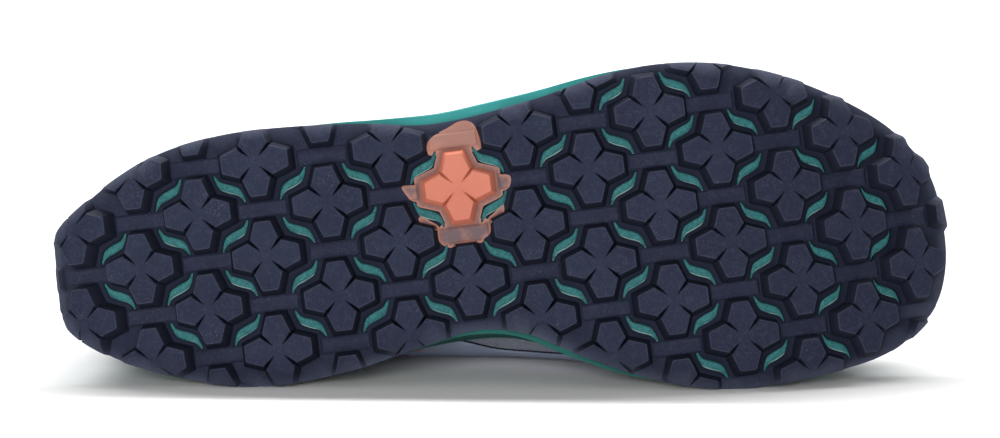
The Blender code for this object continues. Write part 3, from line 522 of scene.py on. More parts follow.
def make_light():
    """A white sky that is brightest overhead, a strip lamp behind the shoe and a soft one in front."""
    world = bpy.data.worlds.new("white studio")
    world.use_nodes = True
    tree = world.node_tree
    towards = add(tree, "VectorMath")
    towards.operation = "DOT_PRODUCT"
    tree.links.new(add(tree, "TexCoord").outputs["Generated"], towards.inputs[0])
    towards.inputs[1].default_value = SKY_BRIGHTEST
    strength = add(tree, "MapRange", Value=towards.outputs["Value"], To_Min=SKY_LOW, To_Max=SKY_HIGH)
    sky = tree.nodes["Background"]
    sky.inputs["Color"].default_value = (1, 1, 1, 1)
    tree.links.new(strength.outputs[0], sky.inputs["Strength"])
    bpy.context.scene.world = world
    for name, (place, size, watts) in LAMPS.items():
        light = bpy.data.lights.new(name, "AREA")
        light.shape = "RECTANGLE"
        light.size, light.size_y = size
        light.energy = watts
        lamp = bpy.data.objects.new(name, light)
        lamp.location = place
        lamp.rotation_euler = (LAMP_TARGET - Vector(place)).to_track_quat("-Z", "Y").to_euler()
        bpy.context.scene.collection.objects.link(lamp)
    bpy.context.scene.view_settings.view_transform = "Standard"


make_floor()
make_light()
print("stage set")

# %% [markdown]
# ## From points to pieces
# All pieces below are worked out in the standing shoe's frame and turned onto the floor when the
# mesh is made. A piece carries its cloth coordinates in millimetres, so that a weave has its real
# size, and may carry marks on its points, such as the painted light and shade of the tread.


# %% Mesh helpers
def on_floor(points):
    """Standing points to lying points."""
    turn = np.array(REST)
    return np.asarray(points, float) @ turn[:3, :3].T + turn[:3, 3]


def new_piece(
    name, points, faces, materials, replaced=(), sharp=35, cloth=None, stuff=None, marks=None
):
    """A mesh piece on the floor that rides with the shoe and stands for the given solids."""
    mesh = bpy.data.meshes.new(name)
    mesh.from_pydata(on_floor(points).tolist(), [], faces)
    for material in materials:
        mesh.materials.append(material)
    if stuff is not None:
        mesh.polygons.foreach_set("material_index", stuff)
    for label, values in (marks or {}).items():
        mesh.attributes.new(label, "FLOAT", "POINT").data.foreach_set("value", np.asarray(values, float))
    if cloth is not None:
        lay_cloth(mesh, np.asarray(cloth, float))
    bm = bmesh.new()
    bm.from_mesh(mesh)
    bmesh.ops.recalc_face_normals(bm, faces=bm.faces[:])
    bm.to_mesh(mesh)
    bm.free()
    mesh.shade_smooth()
    mesh.set_sharp_from_angle(angle=math.radians(sharp))
    piece = bpy.data.objects.new(name, mesh)
    bpy.context.scene.collection.objects.link(piece)
    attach(piece, "root")
    if replaced:
        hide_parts(*replaced)
    print(name, len(mesh.polygons), "faces")
    return piece


def lay_cloth(mesh, cloth):
    """Cloth coordinates for each corner; a face that closes a ring goes on past the seam."""
    corners = np.empty(len(mesh.loops), int)
    mesh.loops.foreach_get("vertex_index", corners)
    owner = np.repeat(np.arange(len(mesh.polygons)), [p.loop_total for p in mesh.polygons])
    laid = cloth[corners]
    span = np.ptp(cloth, axis=0)
    for k in (0, 1):
        highest = np.full(len(mesh.polygons), -np.inf)
        np.maximum.at(highest, owner, laid[:, k])
        back = highest[owner] - laid[:, k] > span[k] / 2
        laid[back, k] += span[k]
    mesh.uv_layers.new(name="cloth").data.foreach_set("uv", laid.ravel())


def grid_faces(count, rows, closed_around=True, closed_up=False, start=0):
    """Quads of a grid of points stored column by column."""
    faces = []
    for i in range(count if closed_around else count - 1):
        for j in range(rows if closed_up else rows - 1):
            a, b = start + i * rows, start + (i + 1) % count * rows
            k = (j + 1) % rows
            faces.append((a + j, b + j, b + k, a + k))
    return faces


def tube_faces(count, sides, start):
    """A closed tube through rings of points, with a cap at both ends."""
    faces = grid_faces(count, sides, closed_around=False, closed_up=True, start=start)
    for first in (start, start + (count - 1) * sides):
        faces.append(tuple(range(first, first + sides)))
    return faces


def wall_faces(first, second):
    """Quads between two loops of points that run side by side."""
    after = [*first[1:], first[0]], [*second[1:], second[0]]
    return [(a, b, d, c) for a, b, c, d in zip(first, after[0], second, after[1])]


def unit(vectors):
    """Vectors brought to a length of one."""
    return vectors / np.maximum(np.linalg.norm(vectors, axis=-1, keepdims=True), 1e-12)


def run_along(points):
    """Distance of each point from the start of a chain of points."""
    return np.concatenate([[0], np.cumsum(np.linalg.norm(np.diff(points, axis=0), axis=1))])


def grid_cloth(grid):
    """Millimetres along and up a grid of points, measured a quarter of the way across it."""
    u = run_along(grid[:, grid.shape[1] // 4]) / MM
    v = run_along(grid[grid.shape[0] // 4]) / MM
    return np.stack(np.meshgrid(u, v, indexing="ij"), axis=2).reshape(-1, 2)


def triangulated(loops, lines=(), keep=lambda owners: owners == [0]):
    """Points, triangles and the source of each point, for closed loops of plan points in metres.

    Edges follow the given lines. A triangle is kept by the loops that it lies in.
    """
    points, faces, edges = [], [], []
    for loop in loops:
        faces.append(list(range(len(points), len(points) + len(loop))))
        points += [Vector(p) for p in np.asarray(loop) / MM]
    for line in lines:
        first = len(points)
        points += [Vector(p) for p in np.asarray(line) / MM]
        edges += [(k, k + 1) for k in range(first, len(points) - 1)]
    made = delaunay_2d_cdt(points, edges, faces, 1, 1e-4, True)
    kept = [f for f, owners in zip(made[2], made[5]) if keep(owners)]
    return np.array([tuple(p) for p in made[0]]) * MM, kept, made[3]


def boundary_loops(triangles):
    """The open edges of a set of triangles, chained: the outline first, then the holes."""
    edges = {(t[k], t[(k + 1) % 3]) for t in triangles for k in range(3)}
    follows = {a: b for a, b in edges if (b, a) not in edges}
    loops = []
    while follows:
        start, at = next(iter(follows.items()))
        loop = [start]
        del follows[start]
        while at != start:
            loop.append(at)
            at = follows.pop(at)
        loops.append(loop)
    return sorted(loops, key=len, reverse=True)


print("mesh helpers ready")

# %% [markdown]
# ## The tread
# The outsole is one moulded sheet: clover lugs with tapering grooves, low bridges between them, and
# slits that show the foam behind. A displaced grid would make ragged lug walls, so the tread is a
# plan drawing instead. Rings at set depths round each lug, the groove lines and the slits are drawn
# flat, triangulated together, and each point is then lifted to its height.

# %% Shape of one lug
CORNER_ROUND = 0.3 * MM
# Cross section of a lug's wall: (millimetres in from its foot, share of its height)
LUG_WALL = ((-0.45, 0.0), (-0.1, 0.03), (0.12, 0.13), (1.28, 0.94), (1.5, 1.0), (1.85, 1.0))
GROOVE_START, GROOVE_END, GROOVE_MOUTH, GROOVE_EDGE = 1.9 * MM, 8.35 * MM, 0.66 * MM, 0.2 * MM
GROOVE_ROUND, GROOVE_ROUND_START = 0.05, 1.5 * MM
# Directions of a ring's points from the middle of a petal, in degrees, closest at the corners
PETAL_ANGLES = (0, 7, 12, 15, 17, 19, 22, 27, 33, 39, 43, 45)


def lug_depth(offset):
    """How far points lie inside a lug's foot; a smooth least distance rounds the corners."""
    size = np.sort(np.abs(offset), axis=1)
    run, fall = LUG_REACH - LUG_NOTCH, PETAL_TIP_HALF - LUG_NOTCH
    slant = math.hypot(run, fall)
    side = (LUG_NOTCH - size[:, 0]) * run / slant + (size[:, 1] - LUG_NOTCH) * fall / slant
    tip = LUG_REACH - size[:, 1]
    share = np.clip(0.5 + 0.5 * (side - tip) / CORNER_ROUND, 0, 1)
    return side + (tip - side) * share - CORNER_ROUND * share * (1 - share)


def groove_half(along):
    """Half the width of a groove at a distance from the lug's middle."""
    return GROOVE_MOUTH * np.clip((along - GROOVE_START) / (GROOVE_END - GROOVE_START), 0, 2)


def lug_share(offset, groove_depth=1.0):
    """Height of the tread near a lug, as a share of the lug's height."""
    wall = np.array(LUG_WALL)
    top = np.interp(lug_depth(offset), wall[:, 0] * MM, wall[:, 1])
    size = np.abs(offset)
    along = size.sum(axis=1) / math.sqrt(2)
    across = np.abs(size[:, 0] - size[:, 1]) / math.sqrt(2)
    half = groove_half(along)
    bed = 1 - groove_depth * np.clip((along - GROOVE_START) / (GROOVE_END - GROOVE_START), 0, 1)
    slope = np.where(across < half, across / np.maximum(half, 1e-9), 1)
    brim = 1 - GROOVE_ROUND * np.clip((along - GROOVE_START) / GROOVE_ROUND_START, 0, 1)
    rounded = brim + (1 - brim) * np.clip((across - half) / GROOVE_EDGE, 0, 1)
    return np.minimum(top, np.where(across < half, bed + (brim - bed) * slope, rounded))


def lug_ring(inset):
    """The line round a lug that lies a given depth inside its foot."""
    half = np.array(PETAL_ANGLES, float)
    petal = np.concatenate([-half[:0:-1], half[:-1]])
    angles = np.radians(np.concatenate([petal + 90 * turn for turn in range(4)]))
    ways = np.column_stack([np.cos(angles), np.sin(angles)])
    near, far = np.zeros(len(ways)), np.full(len(ways), 2 * LUG_REACH)
    for _ in range(40):
        middle = (near + far) / 2
        within = lug_depth(ways * middle[:, None]) > inset
        near, far = np.where(within, middle, near), np.where(within, far, middle)
    return ways * near[:, None]


def groove_lines():
    """The bed and both edges of the four grooves of a lug."""
    along = np.linspace(GROOVE_START, GROOVE_END + 0.4 * MM, 4)
    lines = []
    for turn in range(4):
        angle = math.pi / 4 + turn * math.pi / 2
        way = np.array((math.cos(angle), math.sin(angle)))
        side = np.array((-way[1], way[0]))
        for share, extra in ((0, 0), (1, 0), (-1, 0), (1, GROOVE_EDGE), (-1, -GROOVE_EDGE)):
            across = share * groove_half(along) + extra
            lines.append(along[:, None] * way + across[:, None] * side)
    return lines


LUG_RINGS = [lug_ring(inset * MM) for inset, _ in LUG_WALL]
LUG_LINES = groove_lines()
print("a lug has", sum(len(r) for r in LUG_RINGS), "ring points")

# %% Where lugs, bridges and slits go
LATTICE_COLUMNS, LATTICE_ROWS, ACCENT_PLACE, BARE_PLACE = range(-8, 10), range(-6, 8), (0, 0), (0, -2)
LEAST_LUG_SHARE, LUG_SAMPLES = 0.035, (0.35, 0.8)
EDGE_PROUD, END_PROUD, EDGE_BEVEL = 0.15 * MM, 0.9 * MM, 0.45 * MM
# Half the outline of a slit from its middle, in millimetres; the other half is this one turned round
SLIT_HALF = (
    (4.75, -4.6), (4.25, -2.6), (3.5, -0.75), (2.75, 0.25),
    (0.35, 1.45), (-2.1, 2.3), (-3.1, 3.0), (-4.1, 4.7),
)
SLIT_MARGIN = 1.2 * MM
BRIDGE_HALF, BRIDGE_SLOPE, BRIDGE_RISE = np.array((8.1, 2.75)) * MM, 0.8 * MM, 0.13
# Lugs near both ends are shorter and lean outwards: station in millimetres, length as a share of
# a whole lug, and how far the top leans forward in millimetres
LUG_ENDS = np.array((
    (0, 0.93, -1.5), (30, 0.93, -1.4), (62, 0.96, -0.6), (92, 1.0, 0.0), (165, 1.0, 0.1),
    (195, 1.0, 0.6), (225, 0.97, 0.2), (285, 0.97, 0.0),
))
LUG_TILT = 0.25 * MM


def along_sole(x):
    """Distance along the curved tread of a station x."""
    return np.interp(x, PROFILE_X, PROFILE_S)


def inside(points, polygon):
    """Which plan points are within the polygon."""
    points = np.atleast_2d(points)
    x, y = polygon.T
    x2, y2 = np.roll(x, -1), np.roll(y, -1)
    px, py = points[:, :1], points[:, 1:]
    crosses = (y > py) != (y2 > py)
    at = x + (py - y) * (x2 - x) / np.where(y2 == y, 1e-12, y2 - y)
    return (crosses & (px < at)).sum(axis=1) % 2 == 1


def room(points, polygon):
    """Distance from plan points to the polygon's edge."""
    along = np.roll(polygon, -1, axis=0) - polygon
    t = ((points[:, None] - polygon) * along).sum(2) / (along**2).sum(1)
    nearest = polygon + np.clip(t, 0, 1)[:, :, None] * along
    return np.linalg.norm(nearest - points[:, None], axis=2).min(axis=1)


def softened(corners, times):
    """A closed outline with its corners cut again and again, which rounds it."""
    for _ in range(times):
        after = np.roll(corners, -1, axis=0)
        pair = corners * 0.75 + after * 0.25, corners * 0.25 + after * 0.75
        corners = np.stack(pair, axis=1).reshape(-1, 2)
    return corners


def slit(first, second):
    """An S-shaped slit in the channel between two lugs, counter-clockwise."""
    flip = 1 if second[1] > first[1] else -1
    half = np.array(SLIT_HALF) * (1, flip) * MM
    corners = np.concatenate([half, -half])[::flip]
    return (first + second) / 2 + softened(corners, 1)


OUTLINE = np.column_stack([along_sole(EDGE[:, 0]), EDGE[:, 1]])
foot_points = np.concatenate([lug_ring(0) * share for share in LUG_SAMPLES])
places, bridges = {}, []
for i in LATTICE_COLUMNS:
    for j in LATTICE_ROWS:
        middle = lug_middle(i, j)
        on_it = inside(middle + foot_points, OUTLINE).mean() > LEAST_LUG_SHARE
        if (i + j) % 2 == 0 and on_it and (i, j) != BARE_PLACE:
            places[i, j] = middle
        if (i + j) % 2 and inside(middle, OUTLINE)[0]:
            bridges.append(middle)
slits = []
for (i, j), first in places.items():
    for step in (-1, 1):
        if (i + 1, j + step) in places:
            cut = slit(first, places[i + 1, j + step])
            if inside(cut, OUTLINE).all() and room(cut, OUTLINE).min() > SLIT_MARGIN:
                slits.append(cut)
ACCENT = places.pop(ACCENT_PLACE)
LUGS = np.array(list(places.values()))
BRIDGES = np.array(bridges)
print(len(LUGS), "navy lugs, one coral lug,", len(BRIDGES), "bridges and", len(slits), "slits")


# %% Height of the tread
RIM_REACH, RIM_LUG, RIM_CURL = 6.5 * MM, 0.5, 0.5 * MM
# Painted light and shade of the tread: paleness at shares of a lug's height, from the floor over the wall to
# the top
SHADE_SHARES, SHADE_VALUES = (0, 0.03, 0.13, 0.94, 1.0), (0.6, 0.3, 0.0, 0.05, 1.0)
# Painted light on the bridges and along the rim, and the strength of the rim's painted highlight
SHADE_BRIDGE, SHADE_RIM, RIM_HIGHLIGHT = 0.28, 0.8, 1.8
# Painted shade in the channel by a slit: its paleness at the slit's edge, and how far from it the channel is
# as pale as elsewhere
SHADE_SLIT, SHADE_SLIT_REACH = 0.04, 5.5 * MM
SLIT_NEAR = 9 * MM
# Painted highlight on each lug top's bevel: how far in from the foot, and how wide
HIGHLIGHT_DEPTH, HIGHLIGHT_WIDTH = 1.47 * MM, 0.14 * MM


def nearest(points, middles):
    """Offset of each plan point from the closest of some middles."""
    offsets = points[:, None] - middles
    pick = np.linalg.norm(offsets, axis=2).argmin(axis=1)
    return offsets[np.arange(len(points)), pick]


def bridge_share(points):
    """Height of the low bridges as a share of a lug's height."""
    past = (np.abs(nearest(points, BRIDGES)) - BRIDGE_HALF).max(axis=1)
    return BRIDGE_RISE * np.clip(-past / BRIDGE_SLOPE, 0, 1)


def rim_share(points):
    """0 on the sole's outline, 1 where the tread no longer curls up towards it."""
    share = np.concatenate([room(some, OUTLINE) for some in np.array_split(points, 12)]) / RIM_REACH
    share = np.clip(share, 0, 1)
    return share * (2 - share)


def lug_length(middles):
    """Length of the lugs at some middles, as a share of a whole lug; their breadth stays."""
    length = np.interp(middles[:, 0] / MM, LUG_ENDS[:, 0], LUG_ENDS[:, 1])
    return np.column_stack([length, np.ones(len(middles))])


def lug_offset(points):
    """Offset of each plan point from its closest lug, as if that lug had its whole length."""
    offset = nearest(points, LUGS)
    return offset / lug_length(points - offset)


def lug_lean(points):
    """How far the tread above each plan point leans over."""
    middles = points - nearest(points, LUGS)
    forward = np.interp(middles[:, 0] / MM, LUG_ENDS[:, 0], LUG_ENDS[:, 2]) * MM
    lean = np.column_stack([forward, np.full(len(points), -LUG_TILT)])
    return lean * lug_share(lug_offset(points))[:, None]


def tread_lift(points):
    """Height of the tread over its floor, with the curl of the rim."""
    share = np.maximum(lug_share(lug_offset(points)), bridge_share(points))
    rim = rim_share(points)
    return -share * LUG_HEIGHT * (RIM_LUG + (1 - RIM_LUG) * rim) + RIM_CURL * (1 - rim), share


def tread_shade(points, share):
    """Painted light and shade of the rubber: lug tops 1, bridges and floor less, walls and grooves none,
    painted shade near the slits and painted light along the rim.
    """
    shade = np.interp(share, SHADE_SHARES, SHADE_VALUES)
    bridge = bridge_share(points)
    shade = np.where(bridge >= share, SHADE_VALUES[0] + SHADE_BRIDGE * bridge / BRIDGE_RISE, shade)
    for cut in slits:
        close = np.flatnonzero(np.linalg.norm(points - cut.mean(axis=0), axis=1) < SLIT_NEAR)
        close = close[(share[close] < SHADE_SHARES[-1]) & (bridge[close] == 0)]
        away = np.clip(room(points[close], cut) / SHADE_SLIT_REACH, 0, 1)
        shade[close] = np.minimum(shade[close], SHADE_SLIT + (1 - SHADE_SLIT) * away)
    edge = np.clip(1 - 2 * rim_share(points), 0, 1)
    return np.maximum(shade, SHADE_RIM * edge)


def bridge_lines():
    """Foot and top of each bridge, drawn in plan."""
    corners = np.array(((-1, -1), (1, -1), (1, 1), (-1, 1), (-1, -1)))
    halves = BRIDGE_HALF, BRIDGE_HALF - BRIDGE_SLOPE
    return [middle + corners * half for middle in BRIDGES for half in halves]


def loop_normals(points):
    """Outward plan directions of a counter-clockwise loop."""
    along = np.roll(points, -1, axis=0) - np.roll(points, 1, axis=0)
    out = np.column_stack([along[:, 1], -along[:, 0]])
    return out / np.maximum(np.linalg.norm(out, axis=1), 1e-12)[:, None]


def closed(loop):
    """A loop with its first point once more at the end."""
    return np.concatenate([loop, loop[:1]])


def clean_piece(name, points, faces, materials, replaced, marks, sharp=26):
    """A piece without the loose points that a triangulation leaves behind."""
    used = np.unique(np.concatenate([np.array(f) for f in faces]))
    renumber = np.full(len(points), -1)
    renumber[used] = np.arange(len(used))
    faces = [tuple(int(renumber[k]) for k in f) for f in faces]
    marks = {label: values[used] for label, values in marks.items()}
    new_piece(name, points[used], faces, materials, replaced, sharp, marks=marks)


print("bridges rise", round(BRIDGE_RISE * LUG_HEIGHT / MM, 2), "mm over the channels")

# %% Outsole
SLIT_SOFT, SLIT_SINK, EDGE_ROLL, RUNGS = 0.3 * MM, 0.12 * MM, (0.24, 0.36), 40


def tread_plan():
    """The tread drawn flat and triangulated, with the coral lug's seat and the slits left open."""
    lines = [closed(OUTLINE - loop_normals(OUTLINE) * EDGE_BEVEL)]
    lines += [closed(cut + loop_normals(cut) * SLIT_SOFT) for cut in slits]
    for middle, length in zip(LUGS, lug_length(LUGS)):
        lines += [closed(middle + ring * length) for ring in LUG_RINGS]
        lines += [middle + line * length for line in LUG_LINES]
    verts, kept, _ = triangulated([OUTLINE, *slits, ACCENT + lug_ring(-GAP)], lines + bridge_lines())
    used = np.unique(np.array(kept))
    renumber = {old: new for new, old in enumerate(used)}
    return verts[used], [tuple(renumber[k] for k in f) for f in kept]


def build_outsole():
    """The navy sheet: tread side with lugs and slits, walls, and the side under the foam."""
    flat, faces = tread_plan()
    plan, count = flat.copy(), len(flat)
    loops = boundary_loops(faces)
    edge_loop = np.array(loops[0])
    lift, share = tread_lift(plan)
    shade = tread_shade(plan, share)
    # Painted highlight on the lug tops' bevels and along the rim
    edge_highlight = np.exp(-(((lug_depth(lug_offset(plan)) - HIGHLIGHT_DEPTH) / HIGHLIGHT_WIDTH) ** 2))
    edge_highlight = np.maximum(edge_highlight, RIM_HIGHLIGHT * (1 - rim_share(plan)) ** 2)
    out = loop_normals(plan[edge_loop])
    plan += lug_lean(plan) * rim_share(plan)[:, None]
    plan[edge_loop] += out * (EDGE_PROUD + END_PROUD * out[:, :1] ** 2)
    lift[edge_loop] += EDGE_BEVEL * (EDGE_ROLL[0] + EDGE_ROLL[1] * share[edge_loop])
    for loop in loops[1:]:
        lift[loop] += SLIT_SINK
    rungs = [((s, -LENGTH), (s, LENGTH)) for s in along_sole(np.linspace(0, LENGTH, RUNGS))]
    turned = [loop[::-1] if n else loop for n, loop in enumerate(loops)]
    under, under_faces, came = triangulated([flat[loop] for loop in turned], rungs)
    order = [k for loop in turned for k in loop]
    twin = {order[s]: count + k for k, sources in enumerate(came) for s in sources if s < len(order)}
    faces += [tuple(count + k for k in f) for f in under_faces]
    for loop in loops:
        faces += wall_faces(loop, [twin[k] for k in loop])
    points = np.concatenate([on_sole(plan, lift), on_sole(under, PLATE)])
    blank = np.zeros(len(under))
    marks = {"shade": np.concatenate([shade, blank]), "edge_highlight": np.concatenate([edge_highlight, blank])}
    clean_piece("outsole_rubber", points, faces, [navy_rubber], ["outsole"], marks)


build_outsole()

# %% [markdown]
# ## The coral lug and its bleed
# One lug is moulded in a second rubber. On the real sole that rubber ran out under the mould and
# left thin brownish pads on the channel floor. The lug is the same clover as the others, and the
# bleed is a film under a fifth of a millimetre thick with a ragged outline, draped over the tread.

# %% Coral lug
CORAL_GROOVE, CORAL_SIZE = 0.55, 0.955
CORAL_OUTLINE = ACCENT + lug_ring(0) * CORAL_SIZE
BLEED_LIFT, BLEED_SINK, BLEED_STEP, BLEED_HALO = 0.16 * MM, 0.05 * MM, 0.8 * MM, 1.3 * MM
BLEED_RIM_FADE, BLEED_HALO_FADE = 0.8 * MM, 1.2 * MM
# The lateral pad is thicker, up to here towards the medial side
BLEED_THICK = (-12 * MM, -6 * MM)
# Patches of the bleed from the lug's middle, in millimetres: forward, towards the medial side
BLEED_PATCHES = (
    ((11.0, -2.6), (13.0, -2.4), (16.5, -1.9), (16.9, -0.3), (15.9, 2.3), (14.1, 3.0), (11.0, 3.2)),
    ((13.6, 7.0), (13.4, 9.6), (12.6, 11.2), (9.6, 12.0), (7.4, 13.6), (7.6, 11.0), (10.6, 9.2), (12.4, 7.0)),
    (
        (8.4, 11.2), (8.7, 13.6), (8.1, 16.0), (6.0, 16.9), (5.4, 18.5), (2.1, 17.6), (-3.2, 17.9),
        (-4.8, 18.9), (-8.0, 17.1), (-8.5, 13.9), (-7.8, 12.0), (-6.0, 10.5), (6.0, 10.5),
    ),
    ((-7.4, 13.4), (-9.4, 12.0), (-12.9, 10.8), (-14.0, 8.2), (-12.4, 7.2), (-10.4, 9.4), (-7.6, 11.2)),
    ((-11.0, 3.0), (-15.1, 2.9), (-16.7, 0.3), (-18.0, -2.3), (-17.0, -2.7), (-12.8, -2.3), (-11.0, -2.3)),
    (
        (-7.5, -10.5), (-8.6, -12.2), (-8.0, -15.6), (-4.0, -17.9), (-0.7, -19.0), (2.2, -20.5),
        (5.0, -20.6), (7.2, -19.4), (8.1, -16.9), (9.0, -12.9), (8.5, -10.2),
    ),
)


def build_coral_lug():
    """The clover in coral, with a foot that goes through the navy sheet."""
    rings = [closed(lug_ring(inset * MM)) for inset, _ in LUG_WALL if inset > 0]
    lines = [ACCENT + line * CORAL_SIZE for line in rings + LUG_LINES]
    verts, kept, _ = triangulated([CORAL_OUTLINE], lines)
    loop = boundary_loops(kept)[0]
    foot = list(range(len(verts), len(verts) + len(loop)))
    share = lug_share((verts - ACCENT) / CORAL_SIZE, CORAL_GROOVE)
    points = np.concatenate([on_sole(verts, -share * LUG_HEIGHT), on_sole(verts[loop], PLATE)])
    faces = [*kept, *wall_faces(loop, foot), tuple(foot)]
    clean_piece("coral_lug", points, faces, [coral_rubber], ["accent_lug"], {})


def build_bleed():
    """One thin ragged sheet round the coral lug, draped over the tread and cut away at the slits."""
    patches = [ACCENT + softened(np.array(patch) * MM, 2) for patch in BLEED_PATCHES]
    patches.append(ACCENT + lug_ring(-BLEED_HALO))
    low, high = np.min(np.concatenate(patches), axis=0), np.max(np.concatenate(patches), axis=0)

    def close_by(line):
        return (np.max(line, axis=0) >= low).all() and (np.min(line, axis=0) <= high).all()

    lines = [((s, low[1]), (s, high[1])) for s in np.arange(low[0], high[0], BLEED_STEP)]
    lines += [((low[0], y), (high[0], y)) for y in np.arange(low[1], high[1], BLEED_STEP)]
    lines += bridge_lines() + [closed(middle + ring) for middle in LUGS for ring in LUG_RINGS]
    cuts = [cut for cut in slits if close_by(cut)]
    verts, kept, _ = triangulated(
        [*patches, *cuts, CORAL_OUTLINE],
        [line for line in lines if close_by(line)],
        lambda owners: owners and max(owners) < len(patches),
    )
    edges = {(f[k], f[(k + 1) % 3]) for f in kept for k in range(3)}
    open_edges = sorted((a, b) for a, b in edges if (b, a) not in edges)
    border = verts[[a for a, _ in open_edges]]
    away = np.linalg.norm(verts[:, None] - border, axis=2).min(axis=1)
    rim = np.exp(-((away / BLEED_RIM_FADE) ** 2))
    # Brown beside the coral lug, partly painted shade at its foot
    halo = np.exp(-((room(verts, CORAL_OUTLINE) / BLEED_HALO_FADE) ** 2))
    lift, _ = tread_lift(verts)
    top, back = lift - BLEED_LIFT * (1 - 0.5 * rim), lift + BLEED_SINK
    points = np.concatenate([on_sole(verts, top), on_sole(verts, back)])
    count = len(verts)
    faces = [*kept, *(tuple(count + k for k in reversed(f)) for f in kept)]
    faces += [(a, b, count + b, count + a) for a, b in open_edges]
    thin = (1 - rim) * np.interp(verts[:, 1] - ACCENT[1], BLEED_THICK, (0.3, 1))
    marks = {"thin": np.concatenate([thin, thin]), "halo": np.concatenate([halo, halo])}
    clean_piece("coral_bleed", points, faces, [bleed_rubber], [], marks)


build_coral_lug()
build_bleed()

# %% [markdown]
# ## Midsole foam
# The midsole is a thick slab of teal foam whose outline follows the outsole and flares out at the
# waist, where it shows past the tread. It is a stack of rings. The solid has 56 points a ring, and
# a smooth closed curve through them gives four times as many here. The foam also fills the slits
# of the outsole almost to the channel floor, which is why they look so bright.

# %% Rings of the midsole
COLUMNS, FINER = 56, 4
# Station, thickness, flare at the foot (medial, lateral), flare at the footbed (the same), lip
MIDSOLE_TABLE = np.array((
    (0, 19.5, -1.4, -1.4, -4.0, -4.0, 0.9),
    (40, 19.0, -1.4, -1.4, -4.2, -4.2, 0.9),
    (85, 18.0, -0.6, 0.2, -2.6, -1.6, 0.6),
    (128, 15.5, 1.2, 3.0, 1.2, 2.4, 0.2),
    (160, 13.0, 2.0, 2.2, -0.6, 1.2, 0.2),
    (200, 10.5, -1.0, -0.6, -4.0, -3.6, 0.4),
    (240, 8.0, -1.6, -1.6, -5.0, -5.0, 0.7),
    (281, 6.0, -2.2, -2.2, -7.0, -7.0, 1.0),
)) * MM
# Share of the wall's height, share of the way to the footbed's outline, bulge in millimetres
MIDSOLE_WALL = ((0.0, 0.0, 0.0), (0.40, 0.5, 0.9), (0.52, 0.66, 0.2), (0.60, 0.72, 0.9), (0.92, 1.0, 0.5))
LEDGE, LIP_THICK, LIP_FALL, LIP_GAP = 4.2 * MM, 1.6 * MM, 0.5 * MM, 0.38 * MM
# Shares of the upper's height between which the lip ends
LIP_LOW, LIP_HIGH = 0.06, 0.14
UP = np.array((0, 0, 1.0))


def edge_columns(count):
    """Plan points and outward normals round the outsole's edge, heel to toe and back."""
    lateral, medial = EDGE[: TIP + 1], EDGE[TIP:][::-1]
    angle = 2 * math.pi * np.arange(count) / count
    x = LENGTH / 2 * (1 - np.cos(angle))
    on_medial = np.interp(x, medial[:, 0], medial[:, 1])
    on_lateral = np.interp(x, lateral[:, 0], lateral[:, 1])
    y = np.where(np.sin(angle) > 0, on_medial, on_lateral)
    y[0] = (medial[0, 1] + lateral[0, 1]) / 2
    points = np.stack([x, y], axis=1)
    return points, -loop_normals(points)


EDGE_POINTS, EDGE_NORMALS = edge_columns(COLUMNS)
OUTWARD = np.column_stack([EDGE_NORMALS, np.zeros(COLUMNS)])
SIDE_WAVE = np.sin(2 * math.pi * np.arange(COLUMNS) / COLUMNS)
MEDIAL_SHARE = 0.5 + 0.5 * np.clip(3.0 * SIDE_WAVE, -1, 1)


def by_side(x, table, medial, lateral):
    """A table's value at each column, passing smoothly from side to side."""
    m = smooth_value(x, table[:, 0], table[:, medial])
    q = smooth_value(x, table[:, 0], table[:, lateral])
    return m * MEDIAL_SHARE + q * (1 - MEDIAL_SHARE)


def midsole_outline(medial, lateral):
    """The outsole's edge moved out by the flare in two columns of the table."""
    flare = by_side(EDGE_POINTS[:, 0], MIDSOLE_TABLE, medial, lateral)
    return EDGE_POINTS + EDGE_NORMALS * flare[:, None]


def plate_height(x):
    """Height of the outsole's inner face, where the foam begins."""
    slope = np.interp(x, PROFILE_X, SLOPE)
    return floor_height(x) + (PLATE + GAP) * np.sqrt(1 + slope**2)


def bed_height(x):
    """Height of the midsole's top, where the insole and the upper's edge sit."""
    return plate_height(x) + smooth_value(x, MIDSOLE_TABLE[:, 0], MIDSOLE_TABLE[:, 1])


def finer(ring, times=FINER):
    """A closed ring of points with more points on the smooth curve through them."""
    before, after, far = np.roll(ring, 1, axis=0), np.roll(ring, -1, axis=0), np.roll(ring, -2, axis=0)
    found = []
    for t in np.arange(times) / times:
        a = -0.5 * t + t**2 - 0.5 * t**3
        b = 1 - 2.5 * t**2 + 1.5 * t**3
        c = 0.5 * t + 2 * t**2 - 1.5 * t**3
        d = -0.5 * t**2 + 0.5 * t**3
        found.append(a * before + b * ring + c * after + d * far)
    return np.stack(found, axis=1).reshape(-1, *ring.shape[1:])


print("midsole outline of", COLUMNS * FINER, "points")

# %% [markdown]
# ## The upper's surface
# The upper is drawn as one curve for each column round the shoe, from the footbed up to the topline.
# Two handles a curve give it its belly and its lean. The same table made the solid, and here the
# curves are finer. Everything that sits on the upper, panels, stitches and eyelets, is placed by
# its column and its share of the height.

# %% Curves of the upper
WALL, COLLAR_PAD, COLLAR_PAD_END, COLLAR_PAD_ROWS = 2.2 * MM, 2.8 * MM, 104 * MM, (0.5, 0.85)
STRAIGHT_LEAN = 45 * MM
